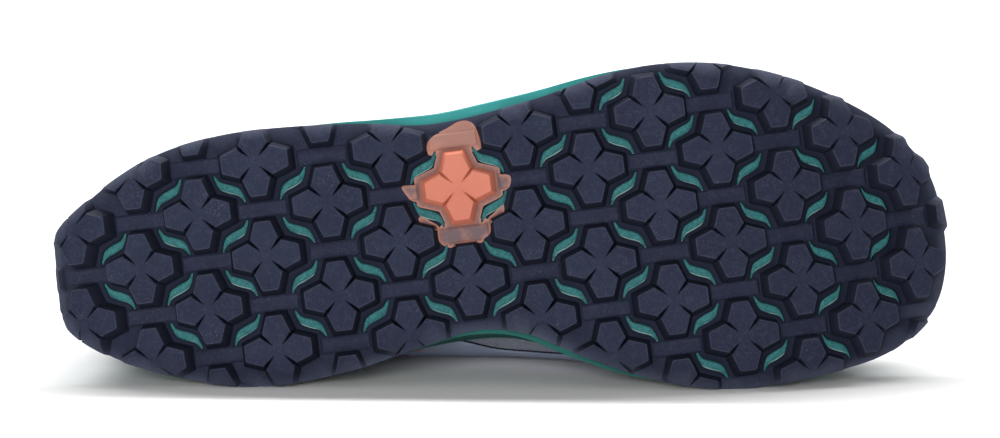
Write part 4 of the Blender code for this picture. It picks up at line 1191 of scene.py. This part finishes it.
# Station of the foot, topline forward and up, topline from the throat's middle (medial, lateral),
# belly (medial, lateral), lower handle up, upper handle down and out
UPPER_SECTIONS = np.array((
    (0, 11, 88, 0, 0, 8, 8, 20, 20, 0),
    (16, 18, 86, 16.5, 16.5, 7, 8, 20, 20, 2),
    (42, 42, 79, 25.5, 27, 4, 7, 20, 20, 1),
    (74, 70, 75, 28.5, 30, 7, 8, 20, 18, 3),
    (104, 96, 84, 27, 28, 15, 11, 22, 20, 8),
    (134, 118, 93, 19.5, 19, 25, 12, 21, 15, 19),
    (166, 144, 85, 15, 14, 17, 11, 20, 9, 24),
    (198, 170, 76, 12, 12, 7, 8, 18, 6, 25),
    (226, 191, 70, 10, 10, 5, 6, 17, 3, 28),
    (254, 203, 67.5, 6.5, 6.5, 5, 5, 17, 1, 33),
    (281, 208, 66.5, 0, 0, 6, 6, 17, 0, 42),
)) * MM
THROAT_LINE = np.array(((0, -2.5), (60, -1.0), (110, 1.5), (160, 4.5), (208, 8.0), (281, 14.0))) * MM


def upper_curves():
    """Four control points for each column: foot, lower handle, upper handle and topline."""
    station = EDGE_POINTS[:, 0]

    def part(index):
        return smooth_value(station, UPPER_SECTIONS[:, 0], UPPER_SECTIONS[:, index])

    foot = midsole_outline(4, 5) - EDGE_NORMALS * LEDGE
    side = np.sign(SIDE_WAVE.round(9))
    middle = smooth_value(part(1), THROAT_LINE[:, 0], THROAT_LINE[:, 1])
    half = np.where(side > 0, part(3), part(4)) * np.abs(side)
    first = np.column_stack([foot, bed_height(foot[:, 0]) + GAP])
    last = np.column_stack([part(1), middle + side * half, part(2)])
    reach = (first - last) * (1, 1, 0)
    far = np.linalg.norm(reach, axis=1)[:, None]
    pull = np.clip(far / STRAIGHT_LEAN, 0, 1)
    lean = OUTWARD * (1 - pull) + reach / np.maximum(far, 1e-6) * pull
    belly = by_side(station, UPPER_SECTIONS, 5, 6)[:, None]
    second = first + OUTWARD * belly + UP * part(7)[:, None]
    third = last + unit(lean) * part(9)[:, None] - UP * part(8)[:, None]
    return first, second, third, last


def upper_surface(rows):
    """Points and outward normals of the upper's outside, column by column, and its inside."""
    t = np.asarray(rows)[None, :, None]
    weights = ((1 - t) ** 3, 3 * t * (1 - t) ** 2, 3 * t**2 * (1 - t), t**3)
    outer = sum(w * finer(c)[:, None, :] for w, c in zip(weights, upper_curves()))
    around = np.roll(outer, -1, axis=0) - np.roll(outer, 1, axis=0)
    normals = unit(np.cross(np.gradient(outer, axis=1), around))
    out = finer(OUTWARD)
    half = len(rows) // 3
    normals *= np.sign((normals[:, 2:half] * out[:, None, :]).sum(axis=(1, 2)))[:, None, None]
    station = finer(EDGE_POINTS)[:, 0]
    padded = np.clip(3 * (1 - station / COLLAR_PAD_END), 0, 1)[:, None]
    pad = padded * np.interp(rows, COLLAR_PAD_ROWS, (0, 1))[None, :]
    inward = normals * (WALL + COLLAR_PAD * pad)[:, :, None]
    inward[:, 0] = out * WALL
    return outer, normals, outer - inward


ROWS = np.linspace(0, 1, 49)
OUTER, NORMALS, INNER = upper_surface(ROWS)


def at_surface(grid, columns, shares):
    """Values of a grid at columns of the solid and shares of the height."""
    columns, shares = np.asarray(columns, float) * FINER, np.clip(shares, 0, 1) * (len(ROWS) - 1)
    i, j = np.floor(columns).astype(int), np.clip(np.floor(shares).astype(int), 0, len(ROWS) - 2)
    a, b = (columns - i)[..., None], (shares - j)[..., None]
    count = len(grid)
    low = grid[i % count, j] * (1 - a) + grid[(i + 1) % count, j] * a
    high = grid[i % count, j + 1] * (1 - a) + grid[(i + 1) % count, j + 1] * a
    return low * (1 - b) + high * b


print("upper of", OUTER.shape[0], "columns and", OUTER.shape[1], "rows")


# %% Midsole and slit foam
# How quickly the painted shade on the midsole's medial side comes in from heel and toe
MEDIAL_SHADE_FADE = 1.5


def stack_of_rings(name, rings, materials, replaced, sharp=35, cloth=False, medial=False):
    """A closed body through rings of points, with rungs across its first and last ring."""
    grid = np.stack([finer(r) for r in rings], axis=1)
    count, rows = grid.shape[:2]
    faces = grid_faces(count, rows)
    for j in (0, rows - 1):
        loop = [i * rows + j for i in range(count)]
        half = count // 2
        faces += [(loop[0], loop[1], loop[-1]), (loop[half - 1], loop[half], loop[half + 1])]
        for i in range(1, half - 1):
            faces.append((loop[i], loop[i + 1], loop[count - i - 1], loop[count - i]))
    laid = grid[:, :, :2].reshape(-1, 2) / MM if cloth else None
    # Painted shade on the medial side, fading in from heel and toe
    side = np.clip(MEDIAL_SHADE_FADE * np.sin(2 * math.pi * np.arange(count) / count), 0, 1)
    marks = {"medial": np.repeat(side, rows)} if medial else None
    points = grid.reshape(-1, 3)
    new_piece(name, points, faces, materials, replaced, sharp, cloth=laid, marks=marks)


def build_midsole():
    """A stepped wall, a lip that hugs the upper and a flat bed."""
    foot, ledge = midsole_outline(2, 3), midsole_outline(4, 5)
    base, bed = plate_height(foot[:, 0]), bed_height(ledge[:, 0])
    rings = []
    for share, across, bulge in MIDSOLE_WALL:
        outline = foot + (ledge - foot) * across + EDGE_NORMALS * bulge * MM
        rings.append(np.column_stack([outline, base + share * (bed - base)]))
    columns = np.arange(COLUMNS)
    low, high = at_surface(OUTER, columns, LIP_LOW), at_surface(OUTER, columns, LIP_HIGH)
    away = at_surface(NORMALS, columns, LIP_LOW) * LIP_GAP
    lip = by_side(EDGE_POINTS[:, 0], MIDSOLE_TABLE, 6, 6)[:, None] / MM
    top = low + (high - low) * lip + away
    corner = at_surface(OUTER, columns, 0.0) + OUTWARD * LIP_GAP - UP * GAP
    rings += [top + OUTWARD * LIP_THICK - UP * LIP_FALL, top, low + away, corner]
    stack_of_rings("midsole_foam", rings, [foam], ["midsole"], medial=True)


SLIT_FOAM_DEPTH, SLIT_FOAM_CROWN, SLIT_FOAM_SLOPE = 1.0 * MM, 0.6 * MM, 0.6 * MM
SLIT_LIP, SLIT_FOAM_BACK = 0.65 * MM, PLATE + 0.1 * MM


def build_slit_foam():
    """Foam that fills each slit from behind, crowned along its middle."""
    points, faces, lips, start = [], [], [], 0
    for cut in slits:
        out = loop_normals(cut)
        verts, kept, _ = triangulated([cut], [closed(cut - out * SLIT_LIP)])
        loop = boundary_loops(kept)[0]
        foot = list(range(len(verts), len(verts) + len(loop)))
        depth = np.clip(room(verts, cut) / SLIT_FOAM_SLOPE, 0, 1)
        apart = np.linalg.norm(verts[:, None] - cut, axis=2)
        # Which way each edge faces, for the painted shadow and highlight on the foam's lips
        lip = np.where(apart.min(axis=1) < 0.01 * MM, out[apart.argmin(axis=1), 1], 0)
        lift = SLIT_FOAM_DEPTH - (SLIT_FOAM_DEPTH - SLIT_FOAM_CROWN) * depth
        points += [on_sole(verts, lift), on_sole(verts[loop], SLIT_FOAM_BACK)]
        plug = [*kept, *wall_faces(loop, foot), tuple(reversed(foot))]
        faces += [tuple(start + k for k in f) for f in plug]
        lips += [lip, np.zeros(len(loop))]
        start += len(verts) + len(loop)
    points, marks = np.concatenate(points), {"lip": np.concatenate(lips)}
    clean_piece("slit_foam", points, faces, [slit_teal], [], marks, sharp=50)


build_midsole()
build_slit_foam()

# %% [markdown]
# ## The upper's cloth
# The base of the upper is a twill mesh with a padded, knitted collar inside. It is one closed skin:
# up the outside, over a rounded rim, down the inside. The mesh lies a third of a millimetre under
# the solid's surface, so that the smooth film panels on it end up where the solid's surface is.

# %% Base of the upper
FILM_THICK = 0.35 * MM
# Flex creases across the vamp: station in millimetres, depth in millimetres, width in millimetres
CREASES = ((186, 0.45, 4.5), (200, 0.6, 5.0), (214, 0.4, 4.5))
CREASE_BEND, CREASE_BEND_SPAN, CREASE_FROM, CREASE_FADE = 4.0, 18.0, 45.0, 15.0


def crease_depth(points):
    """Soft troughs across the top of the forefoot."""
    x, y, z = np.moveaxis(points / MM, -1, 0)
    bend = CREASE_BEND * np.sin(y / CREASE_BEND_SPAN)
    depth = sum(deep * np.exp(-(((x - station - bend) / wide) ** 2)) for station, deep, wide in CREASES)
    return depth * MM * np.clip((z - CREASE_FROM) / CREASE_FADE, 0, 1)


def rounded_rim(outer, inner, steps=5, flat=0.6):
    """Points over the top of a wall, from its outer to its inner edge."""
    middle, half = (outer + inner) / 2, (outer - inner) / 2
    rise = unit(OUTER[:, -1] - OUTER[:, -2]) * np.linalg.norm(half, axis=1)[:, None] * flat
    angles = np.linspace(0, math.pi, steps + 2)[1:-1]
    return np.stack([middle + half * math.cos(a) + rise * math.sin(a) for a in angles], axis=1)


def build_upper():
    """One skin: mesh outside, knit over the rim and inside."""
    outside = OUTER - NORMALS * (FILM_THICK + crease_depth(OUTER))[:, :, None]
    inside_rows = INNER[:, ::-2]
    rim = rounded_rim(outside[:, -1], inside_rows[:, 0])
    grid = np.concatenate([outside, rim, inside_rows], axis=1)
    count, rows = grid.shape[:2]
    faces = grid_faces(count, rows, closed_up=True)
    stuff = [0 if f % rows < len(ROWS) - 1 else 1 for f in range(len(faces))]
    new_piece(
        "upper_cloth", grid.reshape(-1, 3), faces, [mesh_cloth, lining_cloth], ["upper"],
        50, cloth=grid_cloth(grid), stuff=stuff,
    )


build_upper()

# %% [markdown]
# ## Panels and stitches
# Smooth film panels are cut from the upper's own surface. At the arch the film leaves a lens of
# mesh open along the midsole, edged with a dark dashed seam, as the photograph shows. The other
# side, the toe, the heel and the lacing don't show there and are finished plainly in the same way.

# %% Outlines of the panels
PANEL_THICK = 1.1 * MM
PANEL_TOP = GAP + PANEL_THICK
# Middle column, columns to each side, share of the height at foot, top and ends, shape of the arch
TOE_CAP = (28, 10.5, 0.15, 0.62, 0.22, 2.6)
HEEL_COUNTER = (0, 8.2, 0.15, 0.70, 0.22, 1.7)
EYESTAY_COLUMNS, EYESTAY_FOOT = (14, 24), (0.79, 0.90)
# The film on the medial side, as columns and shares of the height: round the arch's mesh window,
# up in front of the lacing, back under the eyestay and down to the heel
FILM_FOOT = ((7.4, 0.05), (12.1, 0.05))
ARCH_WINDOW = (
    (12.35, 0.055), (12.5, 0.085), (12.8, 0.125), (13.2, 0.172), (13.6, 0.212), (14.0, 0.226),
    (14.4, 0.214), (14.8, 0.192), (15.2, 0.16), (15.6, 0.118), (16.0, 0.065),
)
FILM_FRONT = (
    (16.3, 0.05), (20.6, 0.05), (21.3, 0.13), (21.5, 0.26), (21.2, 0.42), (20.8, 0.58),
    (20.9, 0.72), (21.4, 0.86),
)
FILM_TOP = (
    (18.0, 0.85), (14.6, 0.83), (13.2, 0.80), (11.8, 0.74), (10.0, 0.68), (8.2, 0.64), (7.0, 0.58),
)
FILM_BACK = ((6.4, 0.44), (6.3, 0.25), (6.6, 0.12))
FILM_OUTLINE = np.array(FILM_FOOT + ARCH_WINDOW + FILM_FRONT + FILM_TOP + FILM_BACK)


def arched_outline(middle, spread, foot, top, end, shape, steps=48):
    """A level foot and an arched top."""
    across = np.linspace(1, -1, steps + 1)
    arch = np.column_stack([middle + spread * across, end + (top - end) * (1 - np.abs(across) ** shape)])
    level = np.linspace(-1, 1, steps + 1)[1:-1]
    return np.concatenate([np.column_stack([middle + spread * level, np.full(len(level), foot)]), arch])


def eyestay_outline(steps=24):
    """A band along the throat's rim whose foot rises towards the toe."""
    share = np.linspace(0, 1, steps + 1)
    start, stop = EYESTAY_COLUMNS
    columns = start + (stop - start) * share
    foot = np.column_stack([columns, EYESTAY_FOOT[0] + (EYESTAY_FOOT[1] - EYESTAY_FOOT[0]) * share**2])
    return np.concatenate([foot, np.column_stack([columns[::-1], np.ones(steps + 1)])])


def mirrored(outline):
    """An outline of the medial side brought to the lateral side."""
    return outline[::-1] * (-1, 1)


def on_upper(path):
    """Points and outward normals of the upper at rows of column and share of the height."""
    return at_surface(OUTER, *path.T), at_surface(NORMALS, *path.T)


def shifted(outline, distance):
    """A closed outline moved to its left by a real distance on the upper's surface."""
    def spot(p):
        return at_surface(OUTER, *p.T)

    along = spot(np.roll(outline, -1, axis=0)) - spot(np.roll(outline, 1, axis=0))
    left = unit(np.cross(at_surface(NORMALS, *outline.T), along)) * distance
    base = outline - (0, 0.02) * (outline[:, 1:] > 0.9)
    moves = []
    for step in np.diag((0.05, 0.01)):
        per_unit = (spot(base + step) - spot(base - step)) / (2 * step.sum())
        moves.append((left * per_unit).sum(1) / (per_unit**2).sum(1))
    return outline + np.column_stack(moves)


print("film outline of", len(FILM_OUTLINE), "points")


# %% Panels
PANEL_EDGE, PANEL_EDGE_RISE, PANEL_COLUMN, PANEL_ROW = 0.5 * MM, 0.45, 0.25, 0.025
# Columns and shares are brought to like sizes before they are triangulated
PANEL_SCALE = np.array((1, 12.0)) * MM


def build_panel(name, outline, low, high, material, replaced=()):
    """A sheet on the upper between two offsets, with a rounded edge."""
    first, last = outline[:, 0].min(), outline[:, 0].max()
    columns = np.arange(math.floor(first), math.ceil(last) + 0.01, PANEL_COLUMN)
    lines = [closed(shifted(outline, PANEL_EDGE))]
    lines += [np.array(((c, -0.1), (c, 1.1))) for c in columns]
    lines += [np.array(((first - 1, v), (last + 1, v))) for v in np.arange(PANEL_ROW, 1, PANEL_ROW)]
    verts, kept, _ = triangulated([outline * PANEL_SCALE], [line * PANEL_SCALE for line in lines])
    skin, away = on_upper(verts / PANEL_SCALE)
    loop = boundary_loops(kept)[0]
    count = len(verts)
    lift = np.full(count, high)
    lift[loop] = low + (high - low) * PANEL_EDGE_RISE
    points = np.concatenate([skin + away * lift[:, None], skin + away * low])
    faces = kept + [tuple(count + k for k in reversed(f)) for f in kept]
    faces += wall_faces(loop, [count + k for k in loop])
    clean_piece(name, points, faces, [material], replaced, {}, sharp=60)


film_smooth = softened(FILM_OUTLINE, 2)
toe_outline, counter_outline = arched_outline(*TOE_CAP), arched_outline(*HEEL_COUNTER)
stay_outline = eyestay_outline()
for name, outline in (("film_medial", film_smooth), ("film_lateral", mirrored(film_smooth))):
    build_panel(name, outline, -1.2 * FILM_THICK, 0.0, smooth_film)
for name, outline, material in (
    ("toe_cap", toe_outline, trim),
    ("heel_counter", counter_outline, trim),
    ("eyestay_medial", stay_outline, smooth_film),
    ("eyestay_lateral", mirrored(stay_outline), smooth_film),
):
    build_panel(name + "_film", outline, -FILM_THICK, PANEL_TOP, material, [name])


# %% Stitches
STITCH_PITCH, STITCH_LENGTH, STITCH_RADIUS = 2.5 * MM, 1.75 * MM, 0.3 * MM
# A stitch from end to end: share of its length from the middle, share of its thickness
STITCH_SHAPE = ((-0.5, 0.25), (-0.42, 0.75), (-0.2, 1.0), (0.2, 1.0), (0.42, 0.75), (0.5, 0.25))
STITCH_SIDES, STITCH_FLAT, STITCH_DIVE = 6, 0.8, 1.2


def place_at(at, run, points):
    """The place at a distance along a chain of points."""
    return np.array([np.interp(at, run, points[:, k]) for k in range(3)])


def stitch_rows(path, lift, pitch=STITCH_PITCH, length=STITCH_LENGTH):
    """Middle, direction and normal of each stitch along a path on the upper."""
    fine = [np.linspace(a, b, 9)[:-1] for a, b in zip(path, path[1:])]
    spots, away = on_upper(np.concatenate([*fine, path[-1:]]))
    run = run_along(spots)
    found = []
    for at in np.arange(pitch / 2, run[-1], pitch):
        first, last = place_at(at - length / 2, run, spots), place_at(at + length / 2, run, spots)
        normal = place_at(at, run, away)
        found.append(((first + last) / 2 + normal * lift, last - first, normal))
    return found


def build_stitches(name, rows, material):
    """Plump short threads that dive into the cloth at both ends, joined in one mesh."""
    points, faces = [], []
    for middle, along, normal in rows:
        across = unit(np.cross(normal, along))
        faces += tube_faces(len(STITCH_SHAPE), STITCH_SIDES, len(points))
        for share, size in STITCH_SHAPE:
            spot = middle + along * share - normal * STITCH_RADIUS * STITCH_DIVE * (share * 2) ** 4
            for angle in 2 * math.pi * np.arange(STITCH_SIDES) / STITCH_SIDES:
                ring = across * math.cos(angle) + normal * math.sin(angle) * STITCH_FLAT
                points.append(spot + ring * STITCH_RADIUS * size)
    new_piece(name, np.array(points), faces, [material], sharp=60)


def part_of(outline, keep):
    """The stretch of an outline that a test on its points keeps, as an open path."""
    mask = np.array([keep(c, v) for c, v in outline])
    starts = np.flatnonzero(mask & ~np.roll(mask, 1))
    turned = np.roll(outline, -starts[0], axis=0)
    return turned[: int(np.roll(mask, -starts[0]).argmin()) or len(turned)]


film_seam = shifted(film_smooth, 1.1 * MM)
film_path = part_of(film_seam, lambda c, v: v > 0.075 and c > 8.4 and not (c > 13.8 and v > 0.79))
window_path = part_of(film_seam, lambda c, v: 12.2 < c < 16.3 and v < 0.3)
toe_path = part_of(shifted(toe_outline, 2.0 * MM), lambda c, v: v > 0.19)
counter_path = part_of(shifted(counter_outline, 2.0 * MM), lambda c, v: v > 0.19)
stay_path = part_of(shifted(stay_outline, 1.8 * MM), lambda c, v: v < 0.93)
dark_rows = []
for path, lift in ((film_path, 0.0), (window_path, 0.0), (stay_path, PANEL_TOP)):
    dark_rows += stitch_rows(path, lift) + stitch_rows(mirrored(path), lift)
for path in (toe_path, counter_path):
    dark_rows += stitch_rows(path, PANEL_TOP)
build_stitches("seam_stitches", dark_rows, thread)
# Two short bars of coloured thread near the arch: columns and shares of the height, pitch, finish
BAR_LENGTH = 1.6 * MM
BARS = {
    "coral_bar": (((11.75, 0.18), (12.0, 0.172)), 0.6 * MM, coral_thread, "accent"),
    "purple_bar": (((11.35, 0.24), (11.75, 0.262)), 0.7 * MM, purple_thread, "lace"),
}
for name, (path, pitch, material, slot) in BARS.items():
    build_stitches(name, stitch_rows(np.array(path), 0.0, pitch, BAR_LENGTH), material)

# %% [markdown]
# ## Insole and tongue
# Inside, a thin footbed of knit-covered foam follows the last. The tongue is a padded strip under
# the throat that stands up behind the top eyelets. A coarse cage with a subdivision surface gives
# it the soft rounded edges of sewn padding.

# %% Insole
INSOLE, INSOLE_GAP, INSOLE_ROUND = 3.4 * MM, 0.5 * MM, 1.2 * MM


def build_insole():
    """A footbed inside the upper's wall, with a rounded upper edge."""
    foot = at_surface(INNER, np.arange(COLUMNS), 0.0)[:, :2] - EDGE_NORMALS * INSOLE_GAP
    base = bed_height(foot[:, 0]) + GAP
    rings = []
    for inset, lift in ((0, 0), (0, 0.5), (0.25, 0.78), (1.0, 1.0)):
        rings.append(np.column_stack([foot - EDGE_NORMALS * INSOLE_ROUND * inset, base + INSOLE * lift]))
    stack_of_rings("insole_knit", rings, [lining_cloth], ["insole"], 50, cloth=True)


build_insole()

# %% Tongue
TONGUE, TONGUE_GAP, TONGUE_CROWN, TONGUE_SHOULDER = 4.0 * MM, 0.45 * MM, 0.16, 0.05
TONGUE_COLUMNS, TONGUE_ROWS, TONGUE_FREE, TONGUE_UPRIGHT = (14, 26), (0.81, 0.91, 1.0), 20 * MM, 0.9
TONGUE_TOP = ((0.3, 0.63), (0.7, 0.65), (1.0, 0.58))


def tongue_section(index):
    """Points across the tongue at one throat column, medial to lateral."""
    sides = []
    for column in (index, -index):
        away = at_surface(NORMALS, column, TONGUE_ROWS) * TONGUE_GAP
        sides.append(at_surface(INNER, column, TONGUE_ROWS) - away)
    medial, lateral = sides
    rise = UP * np.linalg.norm(medial[-1] - lateral[-1])
    crown = (medial[-1] + lateral[-1]) / 2 + rise * TONGUE_CROWN
    shoulders = [(side[-1] + crown) / 2 + rise * TONGUE_SHOULDER for side in sides]
    return np.array([*medial, shoulders[0], crown, shoulders[1], *lateral[::-1]])


def build_tongue():
    """A padded strip under the throat with a free top."""
    low, high = TONGUE_COLUMNS
    sections = [tongue_section(c) for c in range(high, low - 1, -1)]
    rise = (sections[-1] - sections[-2]).mean(axis=0)
    lean = unit(rise * (1, 0, 1) / np.linalg.norm(rise) + UP * TONGUE_UPRIGHT)
    last = sections[-1]
    middle = last.mean(axis=0)
    for lift, breadth in TONGUE_TOP:
        sections.append(middle + (last - middle) * breadth + lean * TONGUE_FREE * lift)
    top = np.array(sections)
    rows, across = top.shape[:2]
    normals = unit(np.cross(np.gradient(top, axis=1), np.gradient(top, axis=0)))
    normals *= np.sign(normals[:, across // 2, 2].sum())
    bottom = top - normals * TONGUE
    ring = np.concatenate([top, bottom[:, ::-1]], axis=1)
    faces = grid_faces(rows, 2 * across, closed_around=False, closed_up=True)
    for base in (0, (rows - 1) * 2 * across):
        for j in range(across - 1):
            far = base + 2 * across - j - 1
            faces.append((base + j, base + j + 1, far - 1, far))
    piece = new_piece(
        "tongue_pad", ring.reshape(-1, 3), faces, [lining_cloth], ["tongue"],
        180, cloth=grid_cloth(ring),
    )
    smooth = piece.modifiers.new("soft edges", "SUBSURF")
    smooth.levels = smooth.render_levels = 2


build_tongue()

# %% [markdown]
# ## Eyelets and lace
# The lace comes up through one eyelet, crosses over the tongue and goes down through the next one
# on the other side. It is a flat woven band, so a soft flat section is swept along each crossing.
# It narrows where it bunches up to pass through an eyelet. Its ends stop at the top pair.

# %% Eyelets
EYELET_COLUMNS, EYELET_SHARE = (15, 16, 17, 18, 19, 20), 0.91
EYELET_OUTER, EYELET_INNER, EYELET_RISE = 3.3 * MM, 1.9 * MM, 0.8 * MM
EYELET_SIDES, EYELET_TURNS = 28, 10


def eyelet_frame(column):
    """Middle on the eyestay, outward normal and two directions across it."""
    middle = at_surface(OUTER, column, EYELET_SHARE)
    normal = unit(at_surface(NORMALS, column, EYELET_SHARE))
    first = unit(np.cross(normal, (1.0, 0, 0)))
    return middle + normal * (2 * GAP + PANEL_THICK), normal, first, np.cross(normal, first)


def build_eyelet(name, column):
    """A rolled ring that sits on the eyestay."""
    middle, normal, first, second = eyelet_frame(column)
    spread, radius = (EYELET_OUTER + EYELET_INNER) / 2, (EYELET_OUTER - EYELET_INNER) / 2
    points = []
    for k in range(EYELET_SIDES):
        angle = 2 * math.pi * k / EYELET_SIDES
        out = first * math.cos(angle) + second * math.sin(angle)
        for turn in 2 * math.pi * np.arange(EYELET_TURNS) / EYELET_TURNS:
            lift = EYELET_RISE * (0.4 + 0.6 * math.sin(turn))
            points.append(middle + out * (spread + radius * math.cos(turn)) + normal * lift)
    faces = grid_faces(EYELET_SIDES, EYELET_TURNS, closed_up=True)
    new_piece(name + "_ring", np.array(points), faces, [eyelet_plastic], [name], 180)


for number, column in enumerate(EYELET_COLUMNS, 1):
    build_eyelet(f"eyelet_medial_{number}", column)
    build_eyelet(f"eyelet_lateral_{number}", -column)

# %% Lace
LACE_WIDTH, LACE_THICK, LACE_ARCH, LACE_BUNCH = 4.6 * MM, 1.4 * MM, 7.5 * MM, 0.62
LACE_SECTION, LACE_DIP, LACE_OVER, LACE_SQUARE = 12, 2.2 * MM, 0.8 * MM, 0.6


def lace_route(start, end, over):
    """Points from inside one eyelet, over the tongue and down into another."""
    (a, a_up, *_), (b, b_up, *_) = eyelet_frame(start), eyelet_frame(end)
    rise = EYELET_RISE + LACE_THICK * 0.5
    points = [a - a_up * LACE_DIP, a + a_up * rise * 0.6]
    for share in np.linspace(0.07, 0.93, 11):
        hump = 4 * share * (1 - share)
        lift = (a_up * (1 - share) + b_up * share) * rise * 1.25
        points.append(a + (b - a) * share + lift + UP * (hump * LACE_ARCH + over * hump**2))
    points += [b + b_up * rise * 0.6, b - b_up * LACE_DIP]
    return np.array(points)


def smooth_route(points, per_span=5):
    """A smooth open curve through route points."""
    at = run_along(points)
    fine = np.interp(np.linspace(0, len(at) - 1, per_span * (len(at) - 1) + 1), np.arange(len(at)), at)
    return np.stack([smooth_value(fine, at, points[:, k]) for k in range(3)], axis=1)


def lace_band(points):
    """A flat band swept along a route; its breadth direction is carried along without twisting."""
    along = unit(np.gradient(points, axis=0))
    count = len(points)
    across = np.zeros_like(points)
    middle = count // 2
    across[middle] = np.cross(along[middle], UP)
    for order in (range(middle + 1, count), range(middle - 1, -1, -1)):
        last = middle
        for k in order:
            across[k] = unit(across[last] - along[k] * across[last].dot(along[k]))
            last = k
    across[middle] = unit(across[middle])
    thick = np.cross(across, along)
    run = np.minimum(np.arange(count), np.arange(count)[::-1]) / 9.0
    size = LACE_BUNCH + (1 - LACE_BUNCH) * np.clip(run - 0.4, 0, 1)
    angles = 2 * math.pi * np.arange(LACE_SECTION) / LACE_SECTION
    wide = np.sign(np.cos(angles)) * np.abs(np.cos(angles)) ** LACE_SQUARE * LACE_WIDTH / 2
    high = np.sign(np.sin(angles)) * np.abs(np.sin(angles)) ** LACE_SQUARE * LACE_THICK / 2
    return (
        points[:, None]
        + across[:, None] * (wide[None, :] * size[:, None])[:, :, None]
        + thick[:, None] * (high[None, :] / np.sqrt(size)[:, None])[:, :, None]
    )


def build_lace():
    """A bar at the front and two bands for each crossing, joined in one mesh."""
    front = EYELET_COLUMNS[-1]
    routes = [lace_route(front, -front, 0.0)]
    for back, fore in zip(EYELET_COLUMNS, EYELET_COLUMNS[1:]):
        routes += [lace_route(back, -fore, LACE_OVER), lace_route(-back, fore, -LACE_OVER)]
    points, faces, cloth, start, length = [], [], [], 0, 0.0
    for route in routes:
        curve = smooth_route(route)
        length += run_along(curve)[-1]
        grid = lace_band(curve)
        points.append(grid.reshape(-1, 3))
        faces += tube_faces(len(grid), LACE_SECTION, start)
        cloth.append(grid_cloth(grid))
        start += len(grid) * LACE_SECTION
    print(len(routes), "bands of lace,", round(length / MM), "mm in all")
    solids = ["lace_bar"] + [f"lace_cross_{k}" for k in range(1, len(EYELET_COLUMNS))]
    points, cloth = np.concatenate(points), np.concatenate(cloth)
    new_piece("lace", points, faces, [lace_cloth], solids, 60, cloth=cloth)


build_lace()
